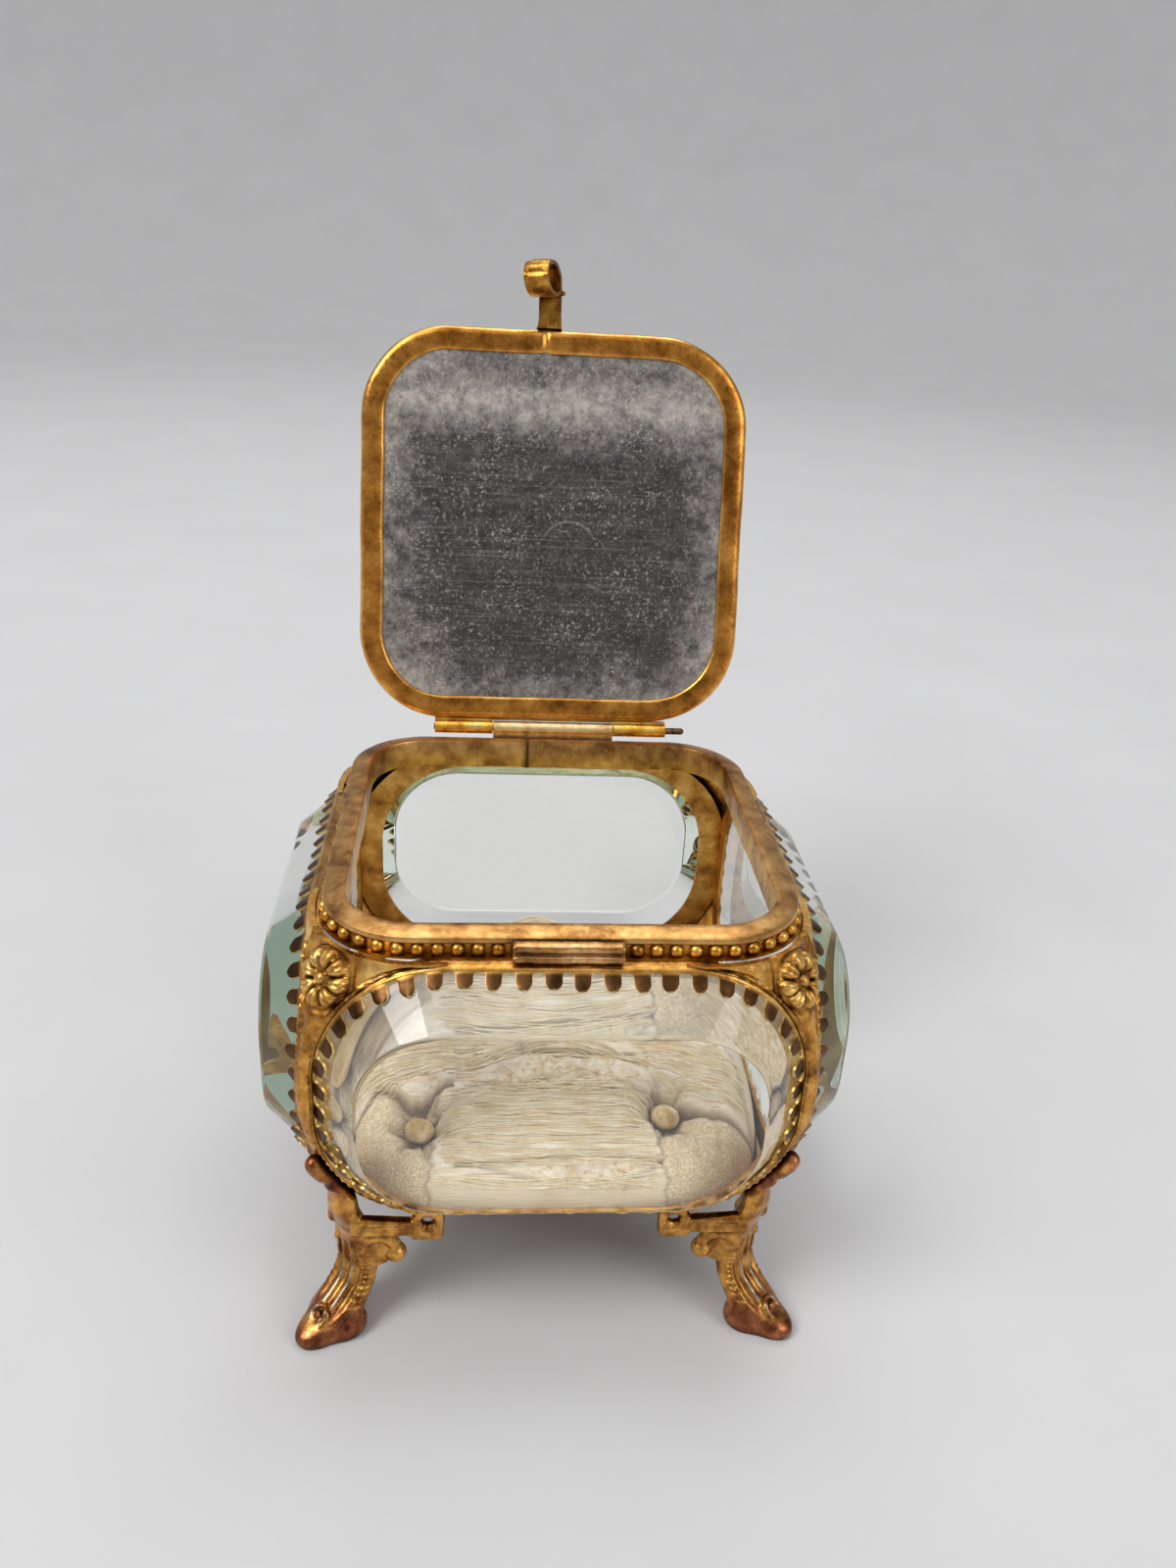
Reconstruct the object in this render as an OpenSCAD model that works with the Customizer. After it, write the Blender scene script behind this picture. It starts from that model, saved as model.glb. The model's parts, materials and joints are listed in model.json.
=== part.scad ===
// Glass casket box: a gilt brass frame with four oval bevelled panels, a hinged
// glass lid standing open, cast feet and a tufted silk cushion inside.
// Z is up, the soles stand on z = 0, X runs along the hinge and the front faces -Y.
// The origin is under the middle of the whole casket with its lid open.

/* [Top rim] */
// Half-width of the box across the lip of its top rim
box_half = 36.9; // [34:0.1:42]
// Corner radius of the lip
rim_corner = 14; // [12:0.1:16]
// Width of the rim's upper face
rim_face = 3.6; // [3:0.1:4.5]
// How far the upper face falls towards the lip
rim_fall = 0.5; // [0.3:0.1:0.9]
// Height of the outer lip
lip_h = 1.6; // [1.2:0.1:2.4]
// Height of the inner skirt
skirt_h = 5.1; // [4.5:0.1:6]
// Thickness of the sheet brass
sheet = 0.6; // [0.5:0.05:0.7]

/* [Bead band] */
// Height of the strip between the lip and the bezels
band_h = 2.2; // [2.1:0.1:3]
// How far the strip stands back from the lip
band_inset = 0.5; // [0.4:0.1:0.8]
// Diameter of a bead
bead_d = 1.8; // [1.4:0.1:1.9]
// Beads along each side, one corner included
beads_per_side = 23; // [16:1:26]

/* [Bezels] */
// Half-height of an oval bezel, to the outer edge of its flange
bezel_half_h = 23.7; // [22:0.1:25]
// Corner radius of the oval where the claws start
oval_corner = 19.5; // [16:0.1:20]
// Width of the flange outside the claws, seen face on
flange_w = 1; // [0.8:0.1:1.2]
// How far the claws' roots stand out from the bezel's inner plane
claw_rise = 2.5; // [2.3:0.1:2.8]
// Width of the inner ledge at the oval's ends
ledge_ends = 4.2; // [3:0.1:5]
// Width of the inner ledge at the oval's top and bottom
ledge_sides = 2.2; // [1.8:0.1:3]
// Number of claws round a bezel
claws = 48; // [40:4:56]
// Width of a claw
claw_w = 2.5; // [1.8:0.1:2.8]
// Length of a claw along the glass
claw_len = 3.1; // [2.6:0.1:3.6]
// Thickness of a claw
claw_t = 0.4; // [0.3:0.05:0.5]

/* [Glass panels] */
// How far the flat outer face stands out from the bezel's inner plane
glass_proud = 9.5; // [8:0.1:11]
// Width of the bevel round the outer face
bevel_w = 6.4; // [5:0.1:7]
// Height of the upright edge below the bevel
glass_edge = 1.2; // [1:0.1:1.6]
// Play between the glass and its bezel
glass_gap = 0.15; // [0.1:0.05:0.2]

/* [Corner pieces] */
// How far the corner's ridge stands out from the lip, along X or Y, at half height
ridge_out = 2.4; // [2:0.1:3]
// How much nearer the corner lies at the top
corner_fall_top = 5.1; // [4:0.1:6]
// How much nearer the corner lies at the bottom
corner_fall_low = 6.8; // [5:0.1:7]
// How far the strip between two bezels stands back from their claws
strip_lap = 0.4; // [0.3:0.05:0.6]
// Height of the rosette's centre below the bead band
rosette_drop = 4.5; // [4.3:0.1:5.5]
// Diameter of the rosette
rosette_d = 8.9; // [7.4:0.1:9.2]
// Number of petals
petals = 8; // [6:1:10]

/* [Base and feet] */
// Height of the base pan's underside above the table
stand_h = 26.4; // [24:0.1:29]
// Height of the stiffening rim under the pan
pan_rim_h = 1.6; // [1:0.1:2]
// Height of a leg's neck, as a share of the pan's height
neck_part = 0.5; // [0.4:0.01:0.55]
// How far the neck stands back from the box's corner
neck_back = 7; // [6:0.1:8]
// Gap between the corner post and the corner piece
post_gap = 0.2; // [0.15:0.05:0.4]
// Diameter of the ball on the corner post
ball_d = 3.1; // [2.6:0.1:3.8]
// Height of the ball above the base pan's underside
ball_up = 9.8; // [8.6:0.1:11]
// How far a sole's centre stands out from the lip, along X or Y
sole_out = 0.6; // [-1:0.1:2]
// Width of a sole
sole_w = 9.4; // [8:0.1:11]
// Length of a sole
sole_len = 10.8; // [9:0.1:12]
// Thickness of a foot's arms
arm_t = 2.4; // [1.8:0.1:2.8]
// Height of a foot's arms
arm_h = 3.4; // [2.6:0.1:4]
// Gap between the arms and the base pan
arm_gap = 3.9; // [3:0.1:4.5]
// Distance of an arm's end block from the box's corner
arm_len = 16.9; // [15:0.1:20]
// Width of the end block
block_w = 4.4; // [3:0.1:5]
// Distance of the scroll knob from the box's corner
knob_in = 11.3; // [10:0.1:12]
// Diameter of the scroll knob under an arm
knob_d = 3.5; // [3:0.1:4.2]
// Height of an arm's underside above the knob's centre
knob_drop = 4.3; // [3.8:0.1:5]
// Radius of the scroll that carries the knob
scroll_r = 2.8; // [2.4:0.1:3.2]
// Thickness of the scroll
scroll_t = 2.8; // [2:0.1:3.2]

/* [Cushion] */
// Thickness of the card under the cushion
card_t = 0.9; // [0.6:0.1:1.2]
// Height of the cushion's crown above the card
crown_h = 12.2; // [10:0.1:15]
// Height of the swell at the cushion's back
swell_h = 3; // [0:0.1:4]
// Distance of the swell from the middle
swell_y = 16; // [0:0.5:20]
// Depth of the channels that run front to back through the tufts
channel_depth = 1.1; // [0:0.1:2]
// Height of the cushion's edge above the card
pad_edge_h = 4; // [3:0.1:5]
// Gap between the cushion and the bezels
pad_gap = 0.9; // [0.6:0.1:1.5]
// Distance of the tuft buttons from the middle, along X
tuft_x = 20.5; // [16:0.1:24]
// Distance of the tuft buttons from the middle, along Y
tuft_y = 23.5; // [18:0.1:25]
// Depth of a tuft
tuft_depth = 6.2; // [4:0.1:7]
// Diameter of a tuft button
button_d = 5; // [4:0.1:6]
// Thickness of a tuft button
button_t = 2.6; // [2:0.1:3]
// Height of a button above the bottom of its tuft
button_up = 2; // [2:0.1:2.6]

/* [Lid] */
// Corner radius of the lid frame
lid_corner = 17; // [14:0.1:18]
// Gap between the rim and the closed lid
lid_gap = 0.15; // [0.1:0.05:0.3]
// Width of the lid frame's inner flange
lid_flange = 4.4; // [3.6:0.1:5]
// Height of the lid frame's outer wall
lid_wall_h = 3.3; // [2.8:0.1:4]
// Thickness of the backing plate
backing_t = 0.5; // [0.4:0.1:0.7]
// Height of the lid glass
lid_glass_h = 5.3; // [4.5:0.1:6]
// Width of the lid glass's bevel
lid_bevel_w = 5.8; // [5:0.1:7]
// Angle at which the lid stands open
lid_open = 104.4; // [95:0.1:110]

/* [Hinge] */
// Radius of the hinge pin
pin_r = 0.65; // [0.5:0.05:0.8]
// Running clearance round the pin
pin_play = 0.05; // [0.03:0.01:0.08]
// Wall of the knuckles
knuckle_wall = 0.6; // [0.5:0.05:0.7]
// Height of the pin above the rim
pin_up = 0.95; // [0.8:0.05:1.1]
// Thickness of the hinge straps
strap_t = 0.45; // [0.35:0.05:0.5]
// Left end of the left knuckle
knuckle_left = -22.2; // [-25:0.1:-20]
// Left end of the middle knuckle
knuckle_mid_left = -10.7; // [-12:0.1:-8]
// Right end of the middle knuckle
knuckle_mid_right = 13; // [10:0.1:15]
// Right end of the right knuckle
knuckle_right = 23.6; // [21:0.1:26]
// How far the pin sticks out on the right
pin_tail = 4.1; // [2:0.1:5]
// Gap between two knuckles
knuckle_gap = 0.15; // [0.1:0.05:0.3]

/* [Clasp and catch] */
// Width of the catch bar
catch_w = 16.2; // [12:0.1:20]
// How far the catch bar stands out from the beads
catch_out = 2.2; // [1.6:0.1:2.6]
// Height of the catch bar
catch_h = 2.5; // [2.2:0.1:2.8]
// Sideways place of the clasp
clasp_x = -1.6; // [-3:0.1:3]
// Width of the clasp's strip
clasp_w = 4.9; // [4:0.1:6]
// Thickness of the clasp's strip
clasp_t = 0.7; // [0.5:0.05:0.8]
// Length of the strip, from the lid to the middle of its loop
clasp_len = 9; // [8.5:0.1:11]
// Outer radius of the loop
loop_r = 3.1; // [2.6:0.1:3.2]
// Angle of the open part of the loop
loop_gap = 50; // [30:1:90]

/* [Hidden] */

$fn = 48;
seat = 0.02;
arc_steps = 12;

// Heights, from the table up
pan_t = sheet;
pad_seat_z = stand_h + pan_t + seat + card_t + seat;
bezel_low_z = stand_h + 0.1;
mid_z = bezel_low_z + bezel_half_h;
band_z = mid_z + bezel_half_h + seat;
lip_z = band_z + band_h;
rim_z = lip_z + lip_h;
lid_z = rim_z + lid_gap;

// Distances from the box's middle
inner_plane = box_half + 0.1;
bezel_half = box_half + flange_w;
root_half_h = bezel_half_h - flange_w;
glass_out = inner_plane + glass_proud;
glass_seat = inner_plane + sheet + seat;
band_half = box_half - band_inset;
bead_out = 0.1;
bead_face = band_half + bead_out + bead_d / 2;
strap_face = bead_face + seat;
skirt_half = box_half - rim_face;

// Slope of the bevel, which the claws follow
bevel_rise = glass_out - glass_seat - glass_edge;
bevel_slope = atan(bevel_rise / bevel_w);

// Hinge axis
knuckle_r = pin_r + pin_play + knuckle_wall;
axis_y = strap_face + strap_t / 2 + knuckle_r - 0.35;
axis_z = rim_z + pin_up;

// Lid, closed
lid_half = box_half;
lid_glass_half = lid_half - sheet - glass_gap;
lid_flat_half = lid_glass_half - lid_bevel_w;
lid_glass_z = lid_z + sheet + seat + backing_t + seat;
lid_top_z = lid_glass_z + lid_glass_h;
clasp_z = lid_z + 0.3;
loop_y = -lid_half - clasp_len;
loop_z = clasp_z + clasp_t - loop_r;

// The box stands forward of the origin, because the open lid reaches back
function open_y(y, z) = axis_y + (y - axis_y) * cos(lid_open) + (z - axis_z) * sin(lid_open);
lid_wall_z = lid_z + lid_wall_h;
back_reach = max(open_y(-lid_flat_half, lid_top_z), open_y(-lid_half, lid_wall_z),
    open_y(loop_y, loop_z) + loop_r, glass_out);
box_y = (glass_out - back_reach) / 2;

// Section of a bezel's ring: its crest and the foot of its outer slope
ring_crest = 0.25;
ring_foot_h = sheet + 0.2;

// Corner surface: its ridge stands nearer the middle at the top and bottom
corner_reach = box_half + ridge_out;
corner_power = 1.8;
corner_seat = 0.25;
corner_columns = 10;
corner_rows = 22;
function corner_part(z) = min(1, abs(z - mid_z) / bezel_half_h);
function corner_at(z) = corner_reach - (z > mid_z ? corner_fall_top : corner_fall_low)
    * pow(corner_part(z), corner_power);
rosette_z = band_z - rosette_drop;
rosette_tilt = atan(corner_fall_top * corner_power * pow(corner_part(rosette_z), corner_power - 1)
    / bezel_half_h * sqrt(2));

// Feet
corner_out = box_half * sqrt(2);
sole_middle = (box_half + sole_out) * sqrt(2) - 1.3;
sole_lobes = 0.16;
arm_root = box_half - 4.2;
arm_tip = box_half - arm_len;
arm_rise = 0.6;
arm_turn = -atan(arm_rise / (arm_root - arm_tip));
knob_x = box_half - knob_in;

// Outlines
function arc(cx, cy, r, a0, a1, n) =
    [for (i = [0 : n]) let (a = a0 + (a1 - a0) * i / n) [cx + r * cos(a), cy + r * sin(a)]];
function round_rect(a, b, r, n = arc_steps) = concat(
    arc(a - r, b - r, r, 0, 90, n), arc(r - a, b - r, r, 90, 180, n),
    arc(r - a, r - b, r, 180, 270, n), arc(a - r, r - b, r, 270, 360, n));

// Place and direction on a rounded rectangle, s mm along it from the middle of its right side
function side_run(h, r) = h - r;
function quarter_len(a, b, r) = side_run(b, r) + 90 * r * PI / 180 + side_run(a, r);
function on_quarter(s, a, b, r) =
    s < b - r ? [a, s, 0]
    : s < b - r + r * PI / 2 ? let (t = (s - b + r) / r * 180 / PI)
        [a - r + r * cos(t), b - r + r * sin(t), t]
    : [a - r - (s - b + r - r * PI / 2), b, 90];
function mirrored(p) = [-p[0], p[1], 180 - p[2]];
function flipped(p) = [p[0], -p[1], -p[2]];
function on_outline(s, a, b, r) = let (q = quarter_len(a, b, r), u = s % (4 * q))
    u < q ? on_quarter(u, a, b, r)
    : u < 2 * q ? mirrored(on_quarter(2 * q - u, a, b, r))
    : u < 3 * q ? flipped(mirrored(on_quarter(u - 2 * q, a, b, r)))
    : flipped(on_quarter(4 * q - u, a, b, r));

// Solid whose rings of points are joined by triangles and closed at both ends
module loft(rings) {
    n = len(rings[0]);
    last = len(rings) - 1;
    points = [for (ring = rings) each ring];
    walls = [for (k = [0 : last - 1], i = [0 : n - 1])
        let (a = k * n + i, b = k * n + (i + 1) % n)
        each [[a, a + n, b], [b, a + n, b + n]]];
    low_end = [for (i = [1 : n - 2]) [0, i, i + 1]];
    top_end = [for (i = [1 : n - 2]) [last * n, last * n + i + 1, last * n + i]];
    polyhedron(points, concat(walls, low_end, top_end), convexity = 4);
}

// Sweeps a profile round a rounded rectangle; profile x = 0 lies on the outline
module sweep_round(a, b, r) {
    for (turn = [0 : 3]) {
        odd = turn % 2 == 1;
        half_out = odd ? b : a;
        half_run = odd ? a : b;
        rotate(90 * turn) {
            translate([half_out - r, half_run - r, 0])
                rotate_extrude(angle = 90) translate([r, 0]) children();
            translate([half_out, half_run - r, 0])
                rotate([90, 0, 0]) linear_extrude(2 * (half_run - r)) children();
        }
    }
}

// The box's place, and one of its four sides: 0 right, 1 back, 2 left, 3 front
module on_box() { translate([0, box_y, 0]) children(); }
module on_side(side) { on_box() rotate(90 * side) children(); }

// Turns a flat layout so that its x runs along the side, its y up and its z outwards
module face_layout() {
    translate([0, 0, mid_z]) rotate([90, 0, 90]) children();
}

// The lid's parts are drawn closed and stand open
module on_lid() {
    on_box() translate([0, axis_y, axis_z]) rotate([-lid_open, 0, 0])
        translate([0, -axis_y, -axis_z]) children();
}

// Top of the box
module rim_profile() {
    fall_z = lip_h - rim_fall;
    polygon([
        [-rim_face, lip_h - skirt_h], [-rim_face + sheet, lip_h - skirt_h], [-rim_face + sheet, 0.4],
        [-sheet - 0.3, 0.4], [-sheet, 0], [0, 0], [0, fall_z - 0.5], [-0.3, fall_z],
        [-1.2, fall_z + 0.25], [-rim_face + 0.5, lip_h], [-rim_face, lip_h - 0.25]]);
}

module top_rim() {
    color("#8a6a38") on_box() translate([0, 0, lip_z])
        sweep_round(box_half, box_half, rim_corner) rim_profile();
}

module bead_band() {
    ledge = inner_plane + sheet - band_half;
    band_corner = rim_corner - band_inset;
    bead_z = (sheet / 2 + band_h - seat) / 2;
    lap = 4 * quarter_len(band_half, band_half, band_corner);
    beads = 4 * beads_per_side;
    color("#a07c34") on_box() translate([0, 0, band_z]) {
        sweep_round(band_half, band_half, band_corner)
            polygon([[-sheet, 0], [ledge, 0], [ledge, sheet / 2], [0, sheet / 2],
                [0, band_h - seat], [-sheet, band_h - seat]]);
        for (i = [0 : beads - 1]) {
            p = on_outline((i + 0.5) * lap / beads, band_half, band_half, band_corner);
            translate([p[0], p[1], bead_z]) rotate(p[2]) translate([bead_out, 0, 0])
                sphere(d = bead_d, $fn = 20);
        }
    }
}

// Bezels
module claw() {
    root = 0.6;
    tip = claw_w / 2;
    linear_extrude(claw_t) polygon(concat([[-root, tip], [-root, -tip]],
        arc(claw_len - tip, 0, tip, -90, 90, arc_steps / 2)));
}

module bezel_shape() {
    half_open_w = box_half - ledge_ends;
    half_open_h = root_half_h - ledge_sides;
    lap = 4 * quarter_len(box_half, root_half_h, oval_corner);
    claw_up = claw_rise - claw_t / cos(bevel_slope) - 0.07;
    difference() {
        linear_extrude(sheet) difference() {
            polygon(round_rect(bezel_half - seat, bezel_half_h, oval_corner + flange_w));
            polygon(round_rect(half_open_w, half_open_h, oval_corner - ledge_sides));
        }
        mitre_cuts();
    }
    difference() {
        sweep_round(box_half, root_half_h, oval_corner)
            polygon([[0, sheet - seat], [flange_w - seat, sheet - seat], [flange_w - seat, ring_foot_h],
                [ring_crest, claw_rise], [0, claw_rise]]);
        mitre_cuts();
    }
    for (i = [0 : claws - 1]) {
        p = on_outline((i + 0.5) * lap / claws, box_half, root_half_h, oval_corner);
        translate([p[0], p[1], claw_up]) rotate(p[2] + 180)
            rotate([0, -bevel_slope, 0]) claw();
    }
}

// Two neighbouring bezels meet on the corner's diagonal plane
module mitre_cuts() {
    reach = 2 * bezel_half_h;
    for (turn = [0, 180]) rotate(turn)
        translate([inner_plane, 0, 0]) rotate([0, 45, 0])
            translate([-seat, -reach / 2, -reach / 2]) cube(reach);
}

module bezel(side) {
    color("#b08a3e") on_side(side) translate([inner_plane, 0, 0]) face_layout() bezel_shape();
}

// Glass
module glass_slab(half_w, half_h, r, edge_h, rise, width) {
    linear_extrude(edge_h) polygon(round_rect(half_w, half_h, r));
    hull() {
        translate([0, 0, edge_h]) linear_extrude(0.01) polygon(round_rect(half_w, half_h, r));
        translate([0, 0, edge_h + rise - 0.01]) linear_extrude(0.01)
            polygon(round_rect(half_w - width, half_h - width, r - width));
    }
}

module glass(side) {
    color("#cfe6d8") on_side(side) translate([glass_seat, 0, 0]) face_layout()
        glass_slab(box_half - glass_gap, root_half_h - glass_gap, oval_corner - glass_gap,
            glass_edge, bevel_rise, bevel_w);
}

// Corner pieces: a sheet from one bezel's slope to the other, bent round the corner
function ring_height(out) = claw_rise
    - (out - ring_crest) / (flange_w - ring_crest) * (claw_rise - ring_foot_h);
function oval_half_w(dz, grow) = box_half - oval_corner + sqrt(max(0, (oval_corner + grow) ^ 2
    - max(0, abs(dz) - (root_half_h - oval_corner)) ^ 2));
function corner_row(z, lift) =
    let (part = corner_part(z), lap = strip_lap + (flange_w - 0.1 - strip_lap) * part,
        side = oval_half_w(z - mid_z, lap), out = inner_plane + ring_height(lap) + corner_seat + lift,
        reach = corner_at(z) - sheet + lift, knee = 2 * reach - (side + out) / 2)
    [for (k = [0 : corner_columns]) let (t = k / corner_columns, u = 1 - t)
        [u * u * side + 2 * t * u * knee + t * t * out,
            -(u * u * out + 2 * t * u * knee + t * t * side), z]];
function corner_level(i) = let (a = -90 + 180 * i / corner_rows, low = mid_z - stand_h - pan_t - 2 * seat,
    high = band_z - mid_z - 2 * seat) mid_z + sin(a) * (a < 0 ? low : high);

module corner_sheet() {
    m = corner_rows;
    n = corner_columns;
    w = n + 1;
    inside = (m + 1) * w;
    outer = [for (i = [0 : m]) each corner_row(corner_level(i), sheet)];
    inner = [for (i = [0 : m]) each corner_row(corner_level(i), 0)];
    faces = [for (i = [0 : m - 1], j = [0 : n - 1])
        let (a = i * w + j, b = a + w)
        each [[a, b, b + 1], [a, b + 1, a + 1], [inside + a, inside + b + 1, inside + b],
            [inside + a, inside + a + 1, inside + b + 1]]];
    ends = [for (j = [0 : n - 1]) let (top = m * w + j)
        each [[j, j + 1, inside + j + 1], [j, inside + j + 1, inside + j],
            [top + 1, top, inside + top], [top + 1, inside + top, inside + top + 1]]];
    edges = [for (i = [0 : m - 1]) let (a = i * w, c = a + n)
        each [[a + w, a, inside + a], [a + w, inside + a, inside + a + w],
            [c, c + w, inside + c + w], [c, inside + c + w, inside + c]]];
    polyhedron(concat(outer, inner), concat(faces, ends, edges), convexity = 6);
}

module rosette() {
    petal_r = rosette_d * 0.155;
    petal_ring = rosette_d / 2 - petal_r;
    for (i = [0 : petals - 1]) rotate(360 * (i + 0.5) / petals)
        translate([petal_ring, 0, -petal_r * 0.25]) sphere(r = petal_r, $fn = 20);
    translate([0, 0, -petal_r * 0.1]) sphere(r = petal_r * 1.15, $fn = 20);
}

module corner_piece(turn) {
    reach = corner_at(rosette_z);
    color("#a8823a") on_box() rotate(turn) {
        corner_sheet();
        translate([reach, -reach, rosette_z]) rotate(-45) rotate([0, 90 - rosette_tilt, 0]) rosette();
    }
}

// Base
module base_pan() {
    color("#7a5a2c") on_box() {
        translate([0, 0, stand_h]) linear_extrude(pan_t)
            polygon(round_rect(inner_plane - seat, inner_plane - seat, rim_corner));
        translate([0, 0, stand_h - pan_rim_h]) sweep_round(skirt_half, skirt_half, rim_corner - rim_face)
            polygon([[-sheet, 0], [0, 0], [0, pan_rim_h + 0.1], [-sheet, pan_rim_h + 0.1]]);
    }
}

// Feet, drawn along the X axis as the corner's diagonal and turned into place
function leg_ring(out, z, depth, width, lobes = 0) = [for (a = [0 : 15 : 345])
    let (r = 1 + lobes * cos(3 * a)) [out + r * depth * cos(a), r * width * sin(a), z]];
function post_out(z, depth) = corner_at(z) * sqrt(2) + post_gap + depth;

module leg() {
    neck_z = stand_h * neck_part;
    neck = corner_out - neck_back;
    deep = sole_len / 2;
    wide = sole_w / 2;
    loft([
        leg_ring(sole_middle, 0, deep, wide, sole_lobes),
        leg_ring(sole_middle, 1.2, deep + 0.4, wide + 0.4, sole_lobes),
        leg_ring(sole_middle - 0.5, 3, deep - 0.5, wide, sole_lobes),
        leg_ring(sole_middle - 1.6, 4.4, deep - 2, wide - 0.4, sole_lobes * 0.8),
        leg_ring(neck + 3, neck_z * 0.44, 2.9, 4.2, sole_lobes / 2),
        leg_ring(neck + 0.8, neck_z * 0.62, 2.4, 4.2),
        leg_ring(neck, neck_z * 0.85, 2.2, 4.1),
        leg_ring(neck + 0.3, neck_z * 1.15, 2.2, 4.1),
        leg_ring(neck + 1.2, neck_z * 1.45, 2.2, 3.9),
        leg_ring(neck + 3.2, stand_h - 2.2, 2, 3.3),
        leg_ring(post_out(stand_h + 0.6, 1.8), stand_h + 0.6, 1.8, 2.8),
        leg_ring(post_out(stand_h + 2.8, 1.4), stand_h + 2.8, 1.4, 1.7),
        leg_ring(post_out(stand_h + 5.2, 1.5), stand_h + 5.2, 1.5, 1.5),
        leg_ring(post_out(stand_h + ball_up, 1.4), stand_h + ball_up, 1.4, 1.4)]);
    translate([post_out(stand_h + ball_up, ball_d / 2), 0, stand_h + ball_up])
        sphere(d = ball_d, $fn = 24);
}

// An arm runs level from the leg to a block under the base pan, with a scroll below it
module arm() {
    face = box_half - arm_t / 2;
    top_z = stand_h - arm_gap;
    tip = arm_tip + block_w / 2;
    translate([arm_root, -face, top_z - arm_h / 2]) rotate([0, 0, 180 + arm_turn]) rotate([0, 90, 0])
        linear_extrude(arm_root - tip) scale([arm_h, arm_t]) circle(d = 1, $fn = 24);
    translate([arm_tip, -face + arm_rise, top_z - arm_h - 0.3])
        linear_extrude(arm_gap + arm_h + 0.3 - seat)
            polygon(round_rect(block_w / 2, arm_t / 2 + 0.3, 0.7, 6));
    translate([knob_x, -face + 0.9, top_z - arm_h - knob_drop]) {
        sphere(d = knob_d, $fn = 24);
        translate([scroll_r, 0, 0.6]) rotate([90, 0, 0]) rotate_extrude(angle = 180)
            translate([scroll_r, 0]) circle(d = scroll_t, $fn = 20);
    }
}

module foot(turn) {
    color("#8c5a36") on_box() rotate(turn) {
        rotate(-45) leg();
        arm();
        mirror([1, 1, 0]) arm();
    }
}

// Cushion and what it lies on
module cushion_card() {
    card_half = inner_plane - pad_gap;
    color("#c9b48a") on_box() translate([0, 0, stand_h + pan_t + seat]) linear_extrude(card_t)
        polygon(round_rect(card_half, card_half, rim_corner));
}

pad_half = inner_plane - pad_gap;
pad_power = 5;
tuft_spread = 4;
swell_spread = 9;
channel_spread = 3.4;
function pad_reach(a) = pad_half * (1 - 0.012 * (1 + cos(4 * a)))
    / pow(pow(abs(cos(a)), pad_power) + pow(abs(sin(a)), pad_power), 1 / pad_power);
function bump(x, y, cx, cy, spread) = exp(-((x - cx) ^ 2 + (y - cy) ^ 2) / (2 * spread ^ 2));
function tufts(x, y) = bump(x, y, -tuft_x, -tuft_y, tuft_spread) + bump(x, y, tuft_x, -tuft_y, tuft_spread)
    + bump(x, y, -tuft_x, tuft_y, tuft_spread) + bump(x, y, tuft_x, tuft_y, tuft_spread);
function pad_height(x, y, t) = pad_seat_z + pad_edge_h
    + (crown_h - pad_edge_h) * pow(1 - pow(min(t, 1), 3), 0.75) - tuft_depth * tufts(x, y)
    + swell_h * bump(x, y, 0, swell_y, swell_spread)
    - channel_depth * (1 - t ^ 4) * exp(-(abs(x) - tuft_x) ^ 2 / channel_spread ^ 2);
function pad_point(t, a) = let (x = t * pad_reach(a) * cos(a), y = t * pad_reach(a) * sin(a))
    [x, y, pad_height(x, y, t)];
function pad_part(x, y) = let (a = atan2(y, x)) sqrt(x ^ 2 + y ^ 2) / pad_reach(a);
function pad_foot(t, drop, a) = [t * pad_reach(a) * cos(a), t * pad_reach(a) * sin(a),
    pad_seat_z + pad_edge_h * (1 - drop)];

module cushion() {
    rings = 14;
    slices = 60;
    angles = [for (i = [0 : slices - 1]) 360 * i / slices];
    under = [for (a = angles) pad_foot(0.94, 1, a)];
    side = [for (a = angles) pad_foot(0.985, 0.7, a)];
    edge = [for (a = angles) pad_foot(1, 0.25, a)];
    top = [for (k = [rings : -1 : 1]) [for (a = angles) pad_point(k / rings, a)]];
    color("#e8dcc0") on_box() loft(concat([under, side, edge], top));
}

module tuft_buttons() {
    color("#c8ae82") on_box()
        for (x = [-tuft_x, tuft_x], y = [-tuft_y, tuft_y])
            translate([x, y, pad_height(x, y, pad_part(x, y)) + button_t / 2 + button_up])
                scale([button_d / 2, button_d / 2, button_t / 2]) sphere(r = 1, $fn = 32);
}

// Hinge
module knuckle(x0, x1) {
    translate([x0, axis_y, axis_z]) rotate([0, 90, 0]) difference() {
        cylinder(r = knuckle_r, h = x1 - x0);
        translate([0, 0, -1]) cylinder(r = pin_r + pin_play, h = x1 - x0 + 2);
    }
}

module pin_bore() {
    translate([knuckle_left - 1, axis_y, axis_z]) rotate([0, 90, 0])
        cylinder(r = pin_r + pin_play, h = knuckle_right - knuckle_left + 2);
}

module hinge_body_leaf() {
    color("#d9bd7a") on_box() {
        knuckle(knuckle_mid_left, knuckle_mid_right);
        difference() {
            translate([knuckle_mid_left, strap_face, band_z + sheet])
                cube([knuckle_mid_right - knuckle_mid_left, strap_t, axis_z - band_z - sheet]);
            pin_bore();
        }
    }
}

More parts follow.
